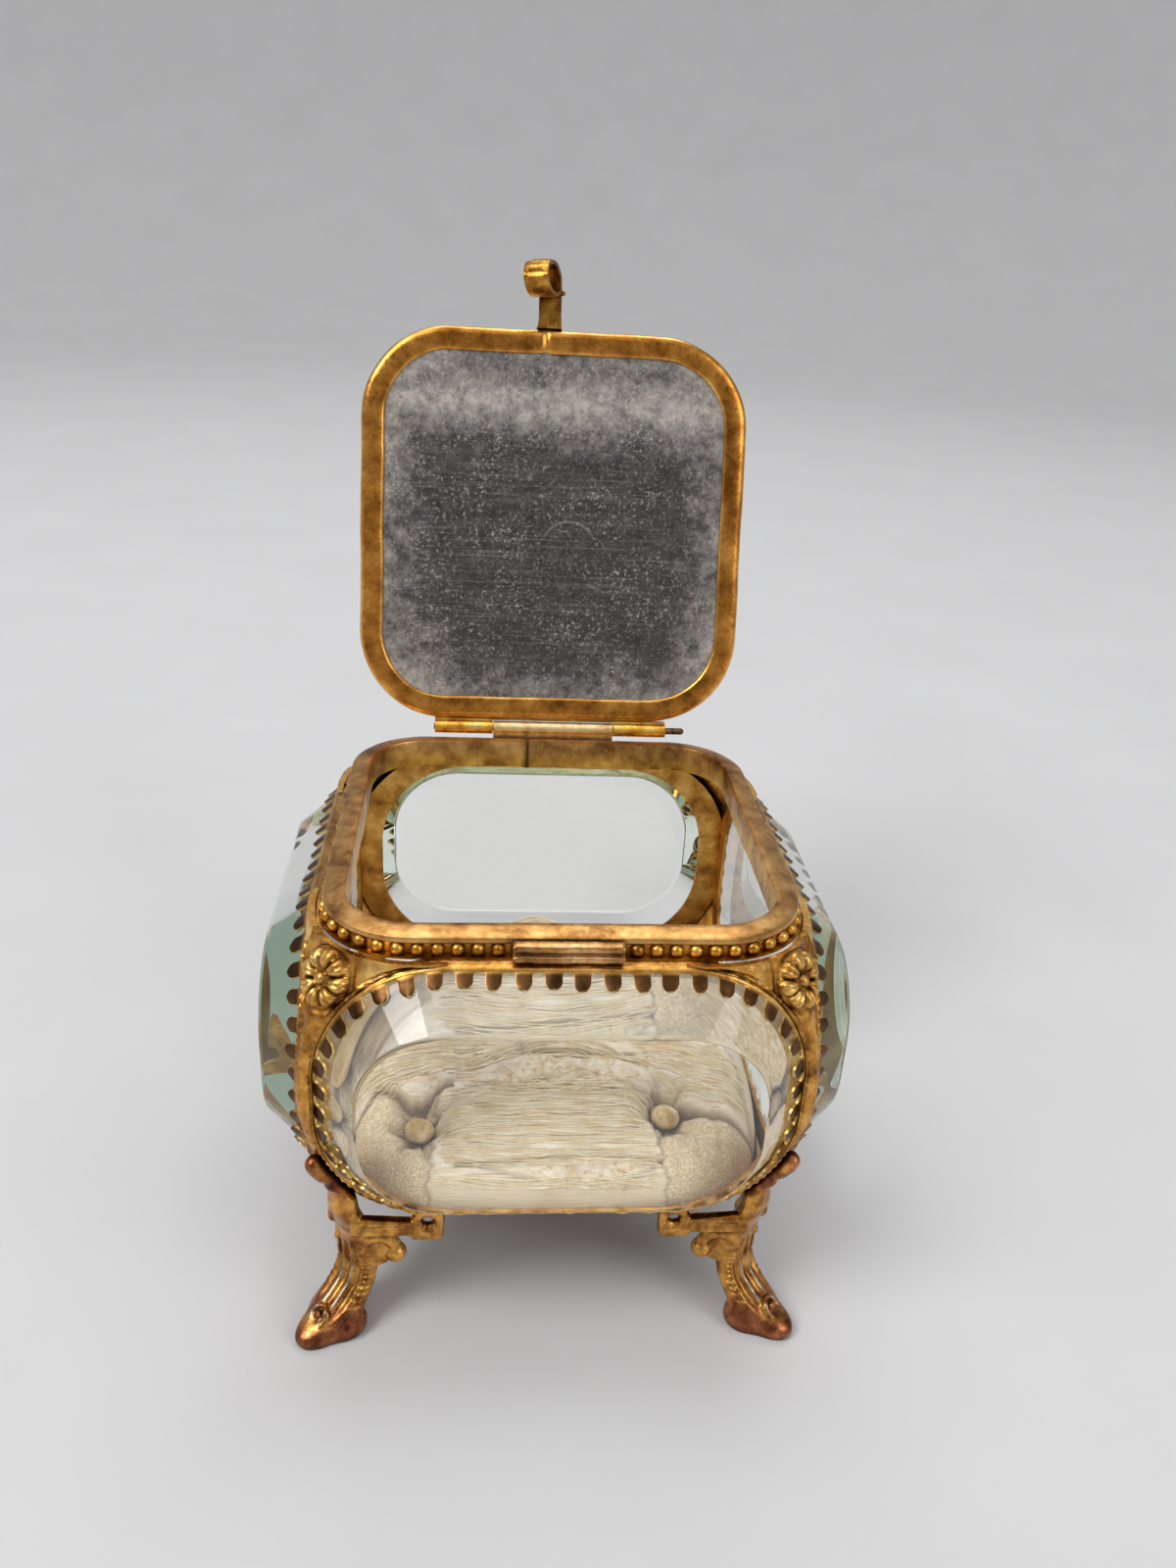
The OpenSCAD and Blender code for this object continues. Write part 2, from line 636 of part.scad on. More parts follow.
module hinge_lid_leaf() {
    strap_z = axis_z + knuckle_r + knuckle_gap;
    strap_y = lid_half + seat;
    spans = [[knuckle_left, knuckle_mid_left - knuckle_gap],
        [knuckle_mid_right + knuckle_gap, knuckle_right]];
    color("#c79a3f") on_lid() {
        translate([knuckle_left, strap_y, strap_z])
            cube([knuckle_right - knuckle_left, strap_t, lid_wall_z - 0.1 - strap_z]);
        for (span = spans) {
            knuckle(span[0], span[1]);
            translate([span[0], 0, 0]) rotate([90, 0, 90]) linear_extrude(span[1] - span[0])
                polygon([[strap_y, axis_z + 0.1], [axis_y - knuckle_r + 0.2, axis_z + 0.1],
                    [axis_y - 0.3, axis_z + knuckle_r - 0.15], [strap_y + strap_t, strap_z + 0.1],
                    [strap_y, strap_z + 0.1]]);
        }
    }
}

module hinge_pin() {
    color("#6b4a2a") on_box() translate([knuckle_left - 0.2, axis_y, axis_z]) rotate([0, 90, 0]) {
        cylinder(r = pin_r, h = knuckle_right + pin_tail - knuckle_left - pin_r);
        translate([0, 0, knuckle_right + pin_tail - knuckle_left - pin_r]) sphere(r = pin_r);
    }
}

// Catch bar on the front of the bead band
module catch_bar() {
    step = catch_h * 0.42;
    back = strap_face;
    out = back + catch_out;
    low = band_z + sheet;
    color("#8a6a3c") on_box() rotate([90, 0, -90])
        translate([0, low, -catch_w / 2]) linear_extrude(catch_w)
            polygon([[back, 0], [out, 0], [out, step], [out - 0.5, step + 0.2],
                [out - 0.5, catch_h - 0.3], [out - 0.8, catch_h], [back, catch_h]]);
}

// Lid
module lid_frame() {
    lip_in = 2.3;
    lip_up = lid_wall_h + 1.5;
    color("#b48c3c") on_lid() translate([0, 0, lid_z])
        sweep_round(lid_half, lid_half, lid_corner)
            polygon([[-lid_flange, 0], [-0.4, 0], [0, 0.4], [0, lid_wall_h], [-0.5, lid_wall_h + 0.6],
                [-lip_in, lip_up], [-lip_in - 0.2, lip_up - 0.45], [-sheet, lid_wall_h - 0.1],
                [-sheet, sheet], [-lid_flange, sheet]]);
}

module lid_glass() {
    edge_h = lid_wall_h - sheet - backing_t - 0.5;
    color("#cfe6d8") on_lid() translate([0, 0, lid_glass_z])
        glass_slab(lid_glass_half, lid_glass_half, lid_corner - sheet - glass_gap,
            edge_h, lid_glass_h - edge_h, lid_bevel_w);
}

module lid_backing() {
    color("#8f9092") on_lid() translate([0, 0, lid_z + sheet + seat]) linear_extrude(backing_t)
        polygon(round_rect(lid_glass_half, lid_glass_half, lid_corner - sheet - glass_gap));
}

// Clasp: a strip that runs out from the lid's front edge and curls down into a loop
module clasp() {
    color("#b9923f") on_lid() translate([clasp_x - clasp_w / 2, 0, 0]) {
        translate([0, loop_y, clasp_z]) cube([clasp_w, clasp_len - seat, clasp_t]);
        translate([0, -lid_half - seat - clasp_t, clasp_z])
            cube([clasp_w, clasp_t, lid_wall_z - clasp_z - 0.3]);
        translate([0, loop_y, loop_z]) rotate([90, 0, 90])
            rotate(90) rotate_extrude(angle = 360 - loop_gap)
                translate([loop_r - clasp_t, 0]) square([clasp_t, clasp_w]);
    }
}

top_rim();
bead_band();
bezel(0);  // bezel_right
bezel(1);  // bezel_back
bezel(2);  // bezel_left
bezel(3);  // bezel_front
glass(0);  // glass_right
glass(1);  // glass_back
glass(2);  // glass_left
glass(3);  // glass_front
corner_piece(90);  // corner_back_right
corner_piece(180);  // corner_back_left
corner_piece(270);  // corner_front_left
corner_piece(0);  // corner_front_right
foot(90);  // foot_back_right
foot(180);  // foot_back_left
foot(270);  // foot_front_left
foot(0);  // foot_front_right
base_pan();
cushion_card();
cushion();
tuft_buttons();
catch_bar();
hinge_body_leaf();
hinge_lid_leaf();
hinge_pin();
lid_frame();
lid_glass();
lid_backing();
clasp();
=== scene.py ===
"""Looks of the glass casket box: worn gilt brass, bevelled glass, cast feet and a tufted silk cushion."""
import json
import random
from math import atan, cos, exp, pi, radians, sin, sqrt

import bmesh
import bpy
import numpy as np
from mathutils import Matrix, Vector


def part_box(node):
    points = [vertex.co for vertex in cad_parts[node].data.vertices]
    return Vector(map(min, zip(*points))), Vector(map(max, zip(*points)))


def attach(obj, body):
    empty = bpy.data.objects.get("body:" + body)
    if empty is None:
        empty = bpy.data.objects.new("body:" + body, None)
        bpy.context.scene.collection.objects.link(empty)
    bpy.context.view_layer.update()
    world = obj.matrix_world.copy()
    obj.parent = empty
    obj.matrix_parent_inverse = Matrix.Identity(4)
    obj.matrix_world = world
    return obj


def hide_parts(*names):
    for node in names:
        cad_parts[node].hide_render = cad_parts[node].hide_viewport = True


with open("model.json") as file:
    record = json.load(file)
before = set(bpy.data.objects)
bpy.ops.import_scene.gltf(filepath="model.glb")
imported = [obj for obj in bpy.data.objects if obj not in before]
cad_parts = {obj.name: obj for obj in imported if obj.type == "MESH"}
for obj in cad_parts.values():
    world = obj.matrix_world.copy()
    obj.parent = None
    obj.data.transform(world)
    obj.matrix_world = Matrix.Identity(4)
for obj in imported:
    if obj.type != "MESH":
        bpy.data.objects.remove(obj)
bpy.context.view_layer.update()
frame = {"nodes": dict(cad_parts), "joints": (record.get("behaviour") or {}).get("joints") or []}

MM = 0.001
SIDES = ["right", "back", "left", "front"]
CORNERS = ["front_right", "back_right", "back_left", "front_left"]

# Sizes in millimetres, read from the frame or as in the part's source, with the box's middle as the origin
rim_low, rim_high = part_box("top_rim")
card_low, card_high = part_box("cushion_card")
BOX_Y = (rim_low.y + rim_high.y) / 2 / MM
BOX_HALF = (rim_high.x - rim_low.x) / 2 / MM
RIM_Z = rim_high.z / MM
LIP_H = 1.6
LIP_Z = RIM_Z - LIP_H
SKIRT_H = 5.1
RIM_CORNER = 14.0
RIM_FACE = 3.6
SHEET = 0.6
BAND_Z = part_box("bead_band")[0].z / MM
BAND_HALF = BOX_HALF - 0.5
BEZEL_LOW, BEZEL_HIGH = (v.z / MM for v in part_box("bezel_front"))
MID_Z = (BEZEL_LOW + BEZEL_HIGH) / 2
BEZEL_HALF_H = (BEZEL_HIGH - BEZEL_LOW) / 2
INNER_PLANE = BOX_HALF + 0.1
FLANGE_W = 1.0
ROOT_HALF_H = BEZEL_HALF_H - FLANGE_W
OVAL_CORNER = 19.5
CLAW_RISE = 2.5
GLASS_OUT = -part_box("glass_front")[0].y / MM + BOX_Y
GLASS_SEAT = INNER_PLANE + SHEET + 0.02
GLASS_EDGE = 1.2
GLASS_GAP = 0.15
BEVEL_W = 6.4
BEVEL_SLOPE = atan((GLASS_OUT - GLASS_SEAT - GLASS_EDGE) / BEVEL_W)
STAND_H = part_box("base_pan")[1].z / MM - SHEET
CARD_TOP = card_high.z / MM
HINGE = Vector(frame["joints"][0]["pos_m"])
LID_OPEN = radians(frame["joints"][0]["range_deg"][1])


def add_object(name, data):
    obj = bpy.data.objects.new(name, data)
    bpy.context.scene.collection.objects.link(obj)
    return obj


def new_mesh(name, points, faces):
    mesh = bpy.data.meshes.new(name)
    mesh.from_pydata([tuple(p) for p in points], [], faces)
    return mesh


# Camera, from the photograph's straight edges and ovals
def make_camera():
    focal_px = 1264.48
    image_height_px = 1600
    sensor_mm = 36.0
    eye = Vector((-13.70, -189.57 + BOX_Y, 173.52)) * MM
    yaw, pitch, roll = -0.09853, 0.43631, 0.06100
    forward = Vector((-sin(yaw) * cos(pitch), cos(yaw) * cos(pitch), -sin(pitch)))
    level_right = Vector((cos(yaw), sin(yaw), 0))
    level_up = level_right.cross(forward)
    right = cos(roll) * level_right + sin(roll) * level_up
    up = cos(roll) * level_up - sin(roll) * level_right
    data = bpy.data.cameras.new("camera")
    data.sensor_width = sensor_mm
    data.lens = sensor_mm * focal_px / image_height_px
    data.clip_start = 0.01
    data.clip_end = 50
    camera = add_object("camera", data)
    camera.matrix_world = Matrix.Translation(eye) @ Matrix((right, up, -forward)).transposed().to_4x4()
    bpy.context.scene.camera = camera


make_camera()


# Shader building
def linear(code):
    parts = [int(code[i:i + 2], 16) / 255 for i in (1, 3, 5)]
    return [c / 12.92 if c <= 0.04045 else ((c + 0.055) / 1.055) ** 2.4 for c in parts] + [1.0]


class Shader:
    """A material, or the world, under construction; noise sizes are in millimetres."""

    def __init__(self, name, library="materials", output="Material"):
        self.owner = getattr(bpy.data, library).new(name)
        self.owner.use_nodes = True
        self.tree = self.owner.node_tree
        self.tree.nodes.clear()
        self.output = self.tree.nodes.new("ShaderNodeOutput" + output)

    def add(self, kind, settings=None, **inputs):
        node = self.tree.nodes.new("ShaderNode" + kind)
        for key, value in (settings or {}).items():
            setattr(node, key, value)
        for key, value in inputs.items():
            self.feed(node.inputs[key.replace("_", " ")], value)
        return node

    def feed(self, socket, value):
        if isinstance(value, bpy.types.NodeSocket):
            self.tree.links.new(value, socket)
        else:
            socket.default_value = linear(value) if isinstance(value, str) else value

    def pair(self, node, first, second, at=0):
        """Feeds two neighbouring inputs."""
        self.feed(node.inputs[at], first)
        self.feed(node.inputs[at + 1], second)

    def noise(self, size, detail, rough, stretch=(1, 1, 1), distort=0.0):
        coords = self.add("TexCoord").outputs["Object"]
        place = self.add("Mapping", Vector=coords, Scale=tuple(1 / MM / s for s in stretch)).outputs[0]
        node = self.add("TexNoise", Vector=place, Scale=1 / size, Detail=detail, Roughness=rough,
                        Distortion=distort)
        return node.outputs["Fac"]

    def ramp(self, value, stops):
        node = self.add("ValToRGB", Fac=value)
        elements = node.color_ramp.elements
        while len(elements) < len(stops):
            elements.new(0.5)
        for element, (at, colour) in zip(elements, stops):
            element.position = at
            element.color = linear(colour) if isinstance(colour, str) else (colour, colour, colour, 1)
        return node.outputs["Color"]

    def mix(self, amount, first, second):
        node = self.add("Mix", {"data_type": "RGBA"})
        self.feed(node.inputs[0], amount)
        self.pair(node, first, second, 6)
        return node.outputs[2]

    def mix_surfaces(self, amount, first, second):
        node = self.add("MixShader", Fac=amount)
        self.pair(node, first, second, 1)
        return node.outputs[0]

    def math(self, operation, a, b=0):
        node = self.add("Math", {"operation": operation})
        self.pair(node, a, b)
        return node.outputs[0]

    def times(self, a, b):
        return self.math("MULTIPLY", a, b)

    def plus(self, a, b):
        return self.math("ADD", a, b)

    def minus(self, a, b):
        return self.math("SUBTRACT", a, b)

    def attribute(self, name):
        return self.add("Attribute", {"attribute_name": name}).outputs["Fac"]

    def recess(self, distance, low=0.35, high=0.95, local=False):
        """Ambient occlusion, 1 in recesses and 0 on open faces, for painting shade into colours; local leaves
        other pieces out.
        """
        node = self.add("AmbientOcclusion", {"samples": 6, "only_local": local}, Distance=distance * MM)
        return self.ramp(node.outputs["AO"], [(low, 1.0), (high, 0.0)])

    def bump(self, height, depth):
        return self.add("Bump", Height=height, Distance=depth * MM).outputs["Normal"]

    def finish(self, surface):
        self.feed(self.output.inputs["Surface"], surface)
        return self.owner

    def coat(self, **inputs):
        """Ends a material in one principled surface."""
        return self.finish(self.add("BsdfPrincipled", **inputs).outputs[0])


def brass(name, base, dark, bright, roughness, recess_shade_and_deposits=0.85, patch=4.0, pits=0.05, reach=1.4,
          worn=None, tints=(), local=False):
    """Old brass: patches of tarnish, dark deposits with painted shade in the recesses, small pits, worn
    patches where asked, and tints from attributes, painted highlights among them.
    """
    s = Shader(name)
    patches = s.noise(patch, 5, 0.62)
    specks = s.noise(patch * 0.16, 4, 0.7)
    colour = s.ramp(patches, [(0.34, dark), (0.50, base), (0.66, bright)])
    spots = s.ramp(specks, [(0.60, 0.0), (0.70, 1.0)])
    colour = s.mix(s.times(spots, 0.45), colour, dark)
    if worn:
        colour = s.mix(s.ramp(s.noise(patch * 0.6, 5, 0.7), [(0.58, 0.0), (0.70, 0.8)]), colour, worn)
    for label, low_tint, high_tint in tints:
        tint = s.ramp(patches, [(0.38, low_tint), (0.62, high_tint)])
        colour = s.mix(s.attribute(label), colour, tint)
    # Painted shade with dark deposits: the colour runs towards near-black, and roughness rises, where ambient
    # occlusion finds recesses and gaps between parts.
    painted_shade_and_deposits = s.times(s.recess(reach, local=local), recess_shade_and_deposits)
    colour = s.mix(painted_shade_and_deposits, colour, "#1d140a")
    gloss = s.ramp(specks, [(0.3, roughness - 0.08), (0.7, roughness + 0.14)])
    gloss = s.plus(gloss, s.times(painted_shade_and_deposits, 0.3))
    normal = s.bump(s.plus(specks, s.times(patches, 1.5)), pits)
    return s.coat(Base_Color=colour, Metallic=1.0, Roughness=gloss, Normal=normal)


def clear_glass():
    """Clear glass that lets light through to what lies behind it, also after many inner reflections."""
    s = Shader("clear_glass")
    body = s.add("BsdfPrincipled", Base_Color="#fcfefd", Roughness=0.0, IOR=1.5, Transmission_Weight=1.0)
    path = s.add("LightPath")
    passing = s.math("MAXIMUM", path.outputs["Is Shadow Ray"], path.outputs["Is Diffuse Ray"])
    most_steps, most_mirrorings = 6.5, 1.5
    deep = s.math("GREATER_THAN", path.outputs["Ray Depth"], most_steps)
    mirrored = s.math("GREATER_THAN", path.outputs["Glossy Depth"], most_mirrorings)
    passing = s.math("MAXIMUM", passing, s.math("MAXIMUM", deep, mirrored))
    air = s.add("BsdfTransparent", Color=s.mix(mirrored, "#ffffff", "#ecf6ec"))
    return s.finish(s.mix_surfaces(passing, body.outputs[0], air.outputs[0]))


def ground_glass():
    """The narrow, unpolished edge of a pane."""
    s = Shader("ground_glass")
    colour = s.ramp(s.noise(3, 3, 0.6), [(0.35, "#b4d0be"), (0.65, "#dcefe3")])
    return s.coat(Base_Color=colour, Roughness=0.6)


def worn_silver():
    """The lid's inner plate: dark in the middle, pale and mottled at the edges, with specks and scratches."""
    s = Shader("worn_silver")
    plate_low, plate_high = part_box("lid_backing")
    middle_z = (plate_low.z + plate_high.z) / 2 / MM
    half = (plate_high.x - plate_low.x) / 2 / MM
    rounding = 3.2
    split = s.add("SeparateXYZ", Vector=s.add("TexCoord").outputs["Object"])
    across = s.times(split.outputs[0], 1 / MM / half)
    up = s.times(s.minus(split.outputs[2], middle_z * MM), 1 / MM / half)
    square = [s.math("POWER", s.math("ABSOLUTE", value), rounding) for value in (across, up)]
    edge = s.math("POWER", s.plus(square[0], square[1]), 1 / rounding)
    cloud = s.noise(9, 6, 0.62)
    fine = s.noise(1.5, 6, 0.75)
    mottle = s.noise(2.6, 9, 0.8)
    edge = s.plus(edge, s.times(s.minus(cloud, 0.5), 0.5))
    band = s.plus(s.math("ABSOLUTE", s.minus(up, 0.64)), s.times(s.minus(cloud, 0.5), 0.4))
    edge_pale = s.ramp(edge, [(0.62, 0.12), (1.0, 0.62)])
    pale = s.math("MAXIMUM", edge_pale, s.ramp(band, [(0.02, 0.66), (0.34, 0.0)]))
    pale = s.plus(pale, s.times(s.minus(mottle, 0.42), 1.5))
    colour = s.ramp(pale, [(0.12, "#2a292a"), (0.38, "#474544"), (0.66, "#8d8781"), (0.92, "#c4bbb0")])
    brushed = s.noise(0.5, 3, 0.6, stretch=(40, 1, 1))
    colour = s.mix(s.ramp(brushed, [(0.52, 0.0), (0.72, 0.35)]), colour, "#8d8883")
    crumbs = s.ramp(s.noise(0.62, 5, 0.8), [(0.55, 0.0), (0.62, 1.0)])
    crumbs = s.times(crumbs, s.ramp(cloud, [(0.40, 0.3), (0.58, 1.0)]))
    colour = s.mix(s.times(crumbs, 0.85), colour, "#cbc4b9")
    stains = s.ramp(s.noise(1.1, 4, 0.7, stretch=(1, 1, 1.7)), [(0.60, 0.0), (0.66, 0.5)])
    colour = s.mix(stains, colour, "#2b2929")
    bow_x, bow_z = s.minus(across, 0.085), s.plus(up, 0.1)
    bow = s.math("SQRT", s.plus(s.times(bow_x, bow_x), s.times(bow_z, bow_z)))
    bow = s.math("ABSOLUTE", s.minus(bow, 0.15))
    scratch = s.ramp(bow, [(0.002, 1.0), (0.006, 0.0)])
    scratch = s.times(scratch, s.ramp(bow_z, [(0.06, 0.0), (0.1, 1.0)]))
    colour = s.mix(s.times(scratch, 0.4), colour, "#b5b0a9")
    hair = s.math("ABSOLUTE", s.minus(s.noise(2.2, 2, 0.4, distort=2.5), 0.5))
    colour = s.mix(s.ramp(hair, [(0.0015, 0.4), (0.005, 0.0)]), colour, "#a9a49c")
    gloss = s.ramp(fine, [(0.3, 0.34), (0.7, 0.6)])
    return s.coat(Base_Color=colour, Metallic=0.25, Roughness=gloss, Normal=s.bump(fine, 0.03))


def silk():
    """Cream silk in fine threads along X, with gaps, bare cloth, padding and stains, and painted shade in its
    hollows and folds.
    """
    s = Shader("cream_silk")
    ribs = s.noise(0.34, 3, 0.6, stretch=(14, 1, 1))
    streaks = s.noise(0.62, 4, 0.65, stretch=(60, 1, 1), distort=0.15)
    grain = s.noise(0.4, 3, 0.6)
    colour = s.ramp(streaks, [(0.34, "#b08e62"), (0.42, "#fbe2ba"), (0.54, "#fff5e4")])
    upward = s.add("SeparateXYZ", Vector=s.add("NewGeometry").outputs["Normal"]).outputs[2]
    flat = s.ramp(upward, [(0.55, 0.0), (0.85, 1.0)])
    colour = s.mix(flat, "#f4e2c2", colour)
    gaps = s.ramp(s.noise(0.9, 3, 0.6, stretch=(110, 1, 1)), [(0.57, 0.0), (0.63, 0.6)])
    colour = s.mix(s.times(flat, gaps), colour, "#94733f")
    colour = s.mix(s.attribute("bare"), colour, s.ramp(grain, [(0.34, "#d8b888"), (0.66, "#fff0d0")]))
    wool = s.ramp(s.noise(1.3, 5, 0.7), [(0.34, "#cda878"), (0.48, "#f6e2c0"), (0.62, "#fff7ea")])
    colour = s.mix(s.attribute("wool"), colour, wool)
    blot = s.ramp(s.noise(2.6, 4, 0.6), [(0.42, 0.0), (0.68, 0.8)])
    colour = s.mix(s.times(s.attribute("rust"), blot), colour, "#c08a54")
    colour = s.mix(s.ramp(s.noise(13, 4, 0.6), [(0.58, 0.0), (0.72, 0.35)]), colour, "#b8945e")
    # Painted shade: darker towards #8a6a40 where ambient occlusion finds the cushion's hollows.
    colour = s.mix(s.times(s.recess(3.0, 0.2, 0.8), 0.28), colour, "#8a6a40")
    # Painted shade in the folds, carried by the crease layer.
    colour = s.mix(s.attribute("crease"), colour, "#5b452a")
    height = s.plus(s.plus(ribs, streaks), s.times(grain, 0.8))
    return s.coat(Base_Color=colour, Roughness=0.62, Normal=s.bump(height, 0.22), Sheen_Weight=0.35,
                  Sheen_Roughness=0.4, Specular_IOR_Level=0.3)


def thread_silk():
    s = Shader("silk_thread")
    tone = s.noise(3, 3, 0.6)
    colour = s.ramp(tone, [(0.35, "#ecd6a4"), (0.65, "#fff2d6")])
    return s.coat(Base_Color=colour, Roughness=0.5, Sheen_Weight=0.3)


def button_cloth():
    s = Shader("button_cloth")
    weave = s.noise(0.3, 3, 0.6)
    stain = s.noise(2.2, 4, 0.6)
    colour = s.ramp(stain, [(0.35, "#b8965c"), (0.6, "#ecd09c"), (0.75, "#fae6be")])
    # Painted shade: darker towards #5c4628 where ambient occlusion finds the button's folds and the cushion
    # round it.
    colour = s.mix(s.times(s.recess(1.6), 0.35), colour, "#5c4628")
    return s.coat(Base_Color=colour, Roughness=0.8, Normal=s.bump(weave, 0.12))


def card_stock():
    s = Shader("card_stock")
    fibre = s.noise(0.7, 4, 0.6)
    colour = s.ramp(fibre, [(0.35, "#a58f66"), (0.65, "#cdb98f")])
    return s.coat(Base_Color=colour, Roughness=0.9, Normal=s.bump(fibre, 0.05))


# Each brass darkens its recesses by ambient occlusion, which paints shade as well as deposits; the catch's
# step line and the gaps round the corner pieces are painted shade.
M = {
    "rim": brass("rim_brass", "#c49254", "#80562f", "#e2b474", 0.34, worn="#dfb06c", patch=6.0,
                 tints=[("skirt", "#8a5f24", "#e0ae4c"), ("seam", "#1c120a", "#2c1d10")]),
    "band": brass("band_brass", "#c48c3a", "#77501f", "#f0b856", 0.26, recess_shade_and_deposits=0.5, reach=0.7),
    "claws": brass("gilt_brass", "#cc964a", "#92602e", "#f0c274", 0.30, recess_shade_and_deposits=0.95, patch=5.0, reach=1.0,
                   tints=[("tip", "#3c2816", "#69482a"), ("rim", "#c0914a", "#f0cf8c")], local=True),
    # Corner brass: lighter tint on the smooth leaves past the fold, and painted highlight on the rosettes'
    # petal tops.
    "corner": brass("corner_brass", "#c0863a", "#74481f", "#ecb45a", 0.26, recess_shade_and_deposits=0.95, reach=1.5,
                    tints=[("smooth_and_petal_highlight", "#d49a48", "#f8ca78")]),
    "lid": brass("lid_brass", "#bc782c", "#7a4418", "#e69f46", 0.24, recess_shade_and_deposits=0.75, patch=5.0, pits=0.03,
                 tints=[("crest", "#cc9040", "#f2be6a")]),
    "foot": brass("foot_bronze", "#9a5c3c", "#552d1e", "#c88054", 0.22, recess_shade_and_deposits=1.0, patch=3.0, reach=2.0,
                  tints=[("gold", "#94602a", "#ecb058"), ("silvery", "#8f7f6e", "#b8ac9b")]),
    "pan": brass("pan_brass", "#6f5329", "#4a3619", "#8d6d3a", 0.5),
    # Hinge leaves: brass far paler than the rest, a painted highlight standing in for the bright light their
    # knuckles reflect.
    "pale": brass("pale_brass", "#f4d294", "#c09a5c", "#ffecb8", 0.34, recess_shade_and_deposits=0.25, patch=3.0),
    "bright": brass("hinge_knuckle_brass_painted_highlight", "#ffc44e", "#d0923a", "#ffe28c", 0.26, recess_shade_and_deposits=0.15, patch=3.0),
    "clasp": brass("clasp_brass", "#a8752f", "#6a431a", "#d4a04a", 0.26, recess_shade_and_deposits=0.9, patch=3.0),
    "catch": brass("catch_brass", "#b58450", "#74502f", "#e2b47e", 0.28, recess_shade_and_deposits=0.9, patch=5.0, reach=0.7,
                   local=True),
    "pin": brass("pin_wire", "#6d5c46", "#41352a", "#93826a", 0.42, patch=1.5),
    "silver": worn_silver(),
    "glass": clear_glass(),
    "ground": ground_glass(),
    "silk": silk(),
    "thread": thread_silk(),
    "button": button_cloth(),
    "card": card_stock(),
}


def dress(node, key, edge):
    """Gives a carried-over node its material, and softens its sharp edges."""
    obj = frame["nodes"][node]
    obj.data.materials.clear()
    obj.data.materials.append(M[key])
    if edge:
        soften = obj.modifiers.new("soft_edges", "BEVEL")
        soften.width = edge * MM
        soften.segments = 3
        soften.limit_method = "ANGLE"
        soften.angle_limit = radians(40)
        soften.harden_normals = True


# Shape building, in the box's own millimetres
def rounded(a, b, r, count):
    """Points and outward angles on a rounded rectangle, evenly spread, from the middle of the right side."""
    straight_b, straight_a, bend = b - r, a - r, r * pi / 2
    quarter = straight_b + bend + straight_a
    out = []
    for i in range(count):
        s = 4 * quarter * i / count
        turn, u = int(s // quarter), s % quarter
        if turn % 2:
            u = quarter - u
        if u < straight_b:
            x, y, t = a, u, 0.0
        elif u < straight_b + bend:
            t = (u - straight_b) / r
            x, y = straight_a + r * cos(t), straight_b + r * sin(t)
        else:
            x, y, t = straight_a - (u - straight_b - bend), b, pi / 2
        if turn in (1, 2):
            x, t = -x, pi - t
        if turn in (2, 3):
            y, t = -y, -t
        out.append((x, y, t))
    return np.array(out)


def bell(value, width):
    """1 where the value is 0, falling off to both sides."""
    return np.exp(-(value / width) ** 2)


def share(value):
    """The value, kept from 0 to 1."""
    return np.clip(value, 0, 1)


def climb(value, length):
    """0 up to 0, then rising to 1 over the length."""
    return share(value / length)


def below(value, blur):
    """1 where the value is under 0, 0 where it is over, with a soft step between."""
    return 1 / (1 + np.exp(np.clip(value / blur, -40, 40)))


def circle(i, count):
    return 2 * pi * i / count


def sheet_faces(rows, columns, wrap_columns=False, wrap_rows=False, base=0):
    faces = []
    for i in range(rows if wrap_rows else rows - 1):
        for j in range(columns if wrap_columns else columns - 1):
            a, b = i * columns + j, i * columns + (j + 1) % columns
            c, d = (i + 1) % rows * columns + (j + 1) % columns, (i + 1) % rows * columns + j
            faces.append((base + a, base + b, base + c, base + d))
    return faces


def tube_faces(rows, around):
    """A closed tube: its rows of points come first, then the middles of its two ends."""
    faces = sheet_faces(rows, around, wrap_columns=True)
    count = rows * around
    for k in range(around):
        after = (k + 1) % around
        faces += [(count, after, k), (count + 1, count - around + k, count - around + after)]
    return faces


def double_sheet_faces(rows, columns):
    """Two sheets of points, the second behind the first, closed round their edges."""
    shift = rows * columns
    faces = sheet_faces(rows, columns) + [f[::-1] for f in sheet_faces(rows, columns, base=shift)]
    grid = np.arange(shift).reshape(rows, columns)
    for line in (grid[:, 0], grid[:, -1], grid[0], grid[-1]):
        faces += [(a, b, b + shift, a + shift) for a, b in zip(line[:-1].tolist(), line[1:].tolist())]
    return faces


def to_frame(points):
    """From the box's own millimetres to the frame's metres."""
    points = np.asarray(points, float).reshape(-1, 3).copy()
    points[:, 1] += BOX_Y
    return points * MM


def lid_to_frame(points):
    """From the closed lid's place to where it stands open."""
    points = to_frame(points) - np.array(HINGE)
    c, s = cos(-LID_OPEN), sin(-LID_OPEN)
    y = points[:, 1] * c - points[:, 2] * s
    z = points[:, 1] * s + points[:, 2] * c
    return np.stack([points[:, 0], y, z], 1) + np.array(HINGE)


def turned(points, quarter):
    """Turns points by quarter turns about the box's middle."""
    c, s = [(1, 0), (0, 1), (-1, 0), (0, -1)][quarter % 4]
    points = np.asarray(points, float).reshape(-1, 3)
    return np.stack([points[:, 0] * c - points[:, 1] * s, points[:, 0] * s + points[:, 1] * c,
                     points[:, 2]], 1)


def face_layout(points, quarter):
    """A flat layout's x runs along the side, its y up and its z outwards."""
    points = np.asarray(points, float).reshape(-1, 3)
    return turned(np.stack([INNER_PLANE + points[:, 2], points[:, 0], MID_Z + points[:, 1]], 1), quarter)


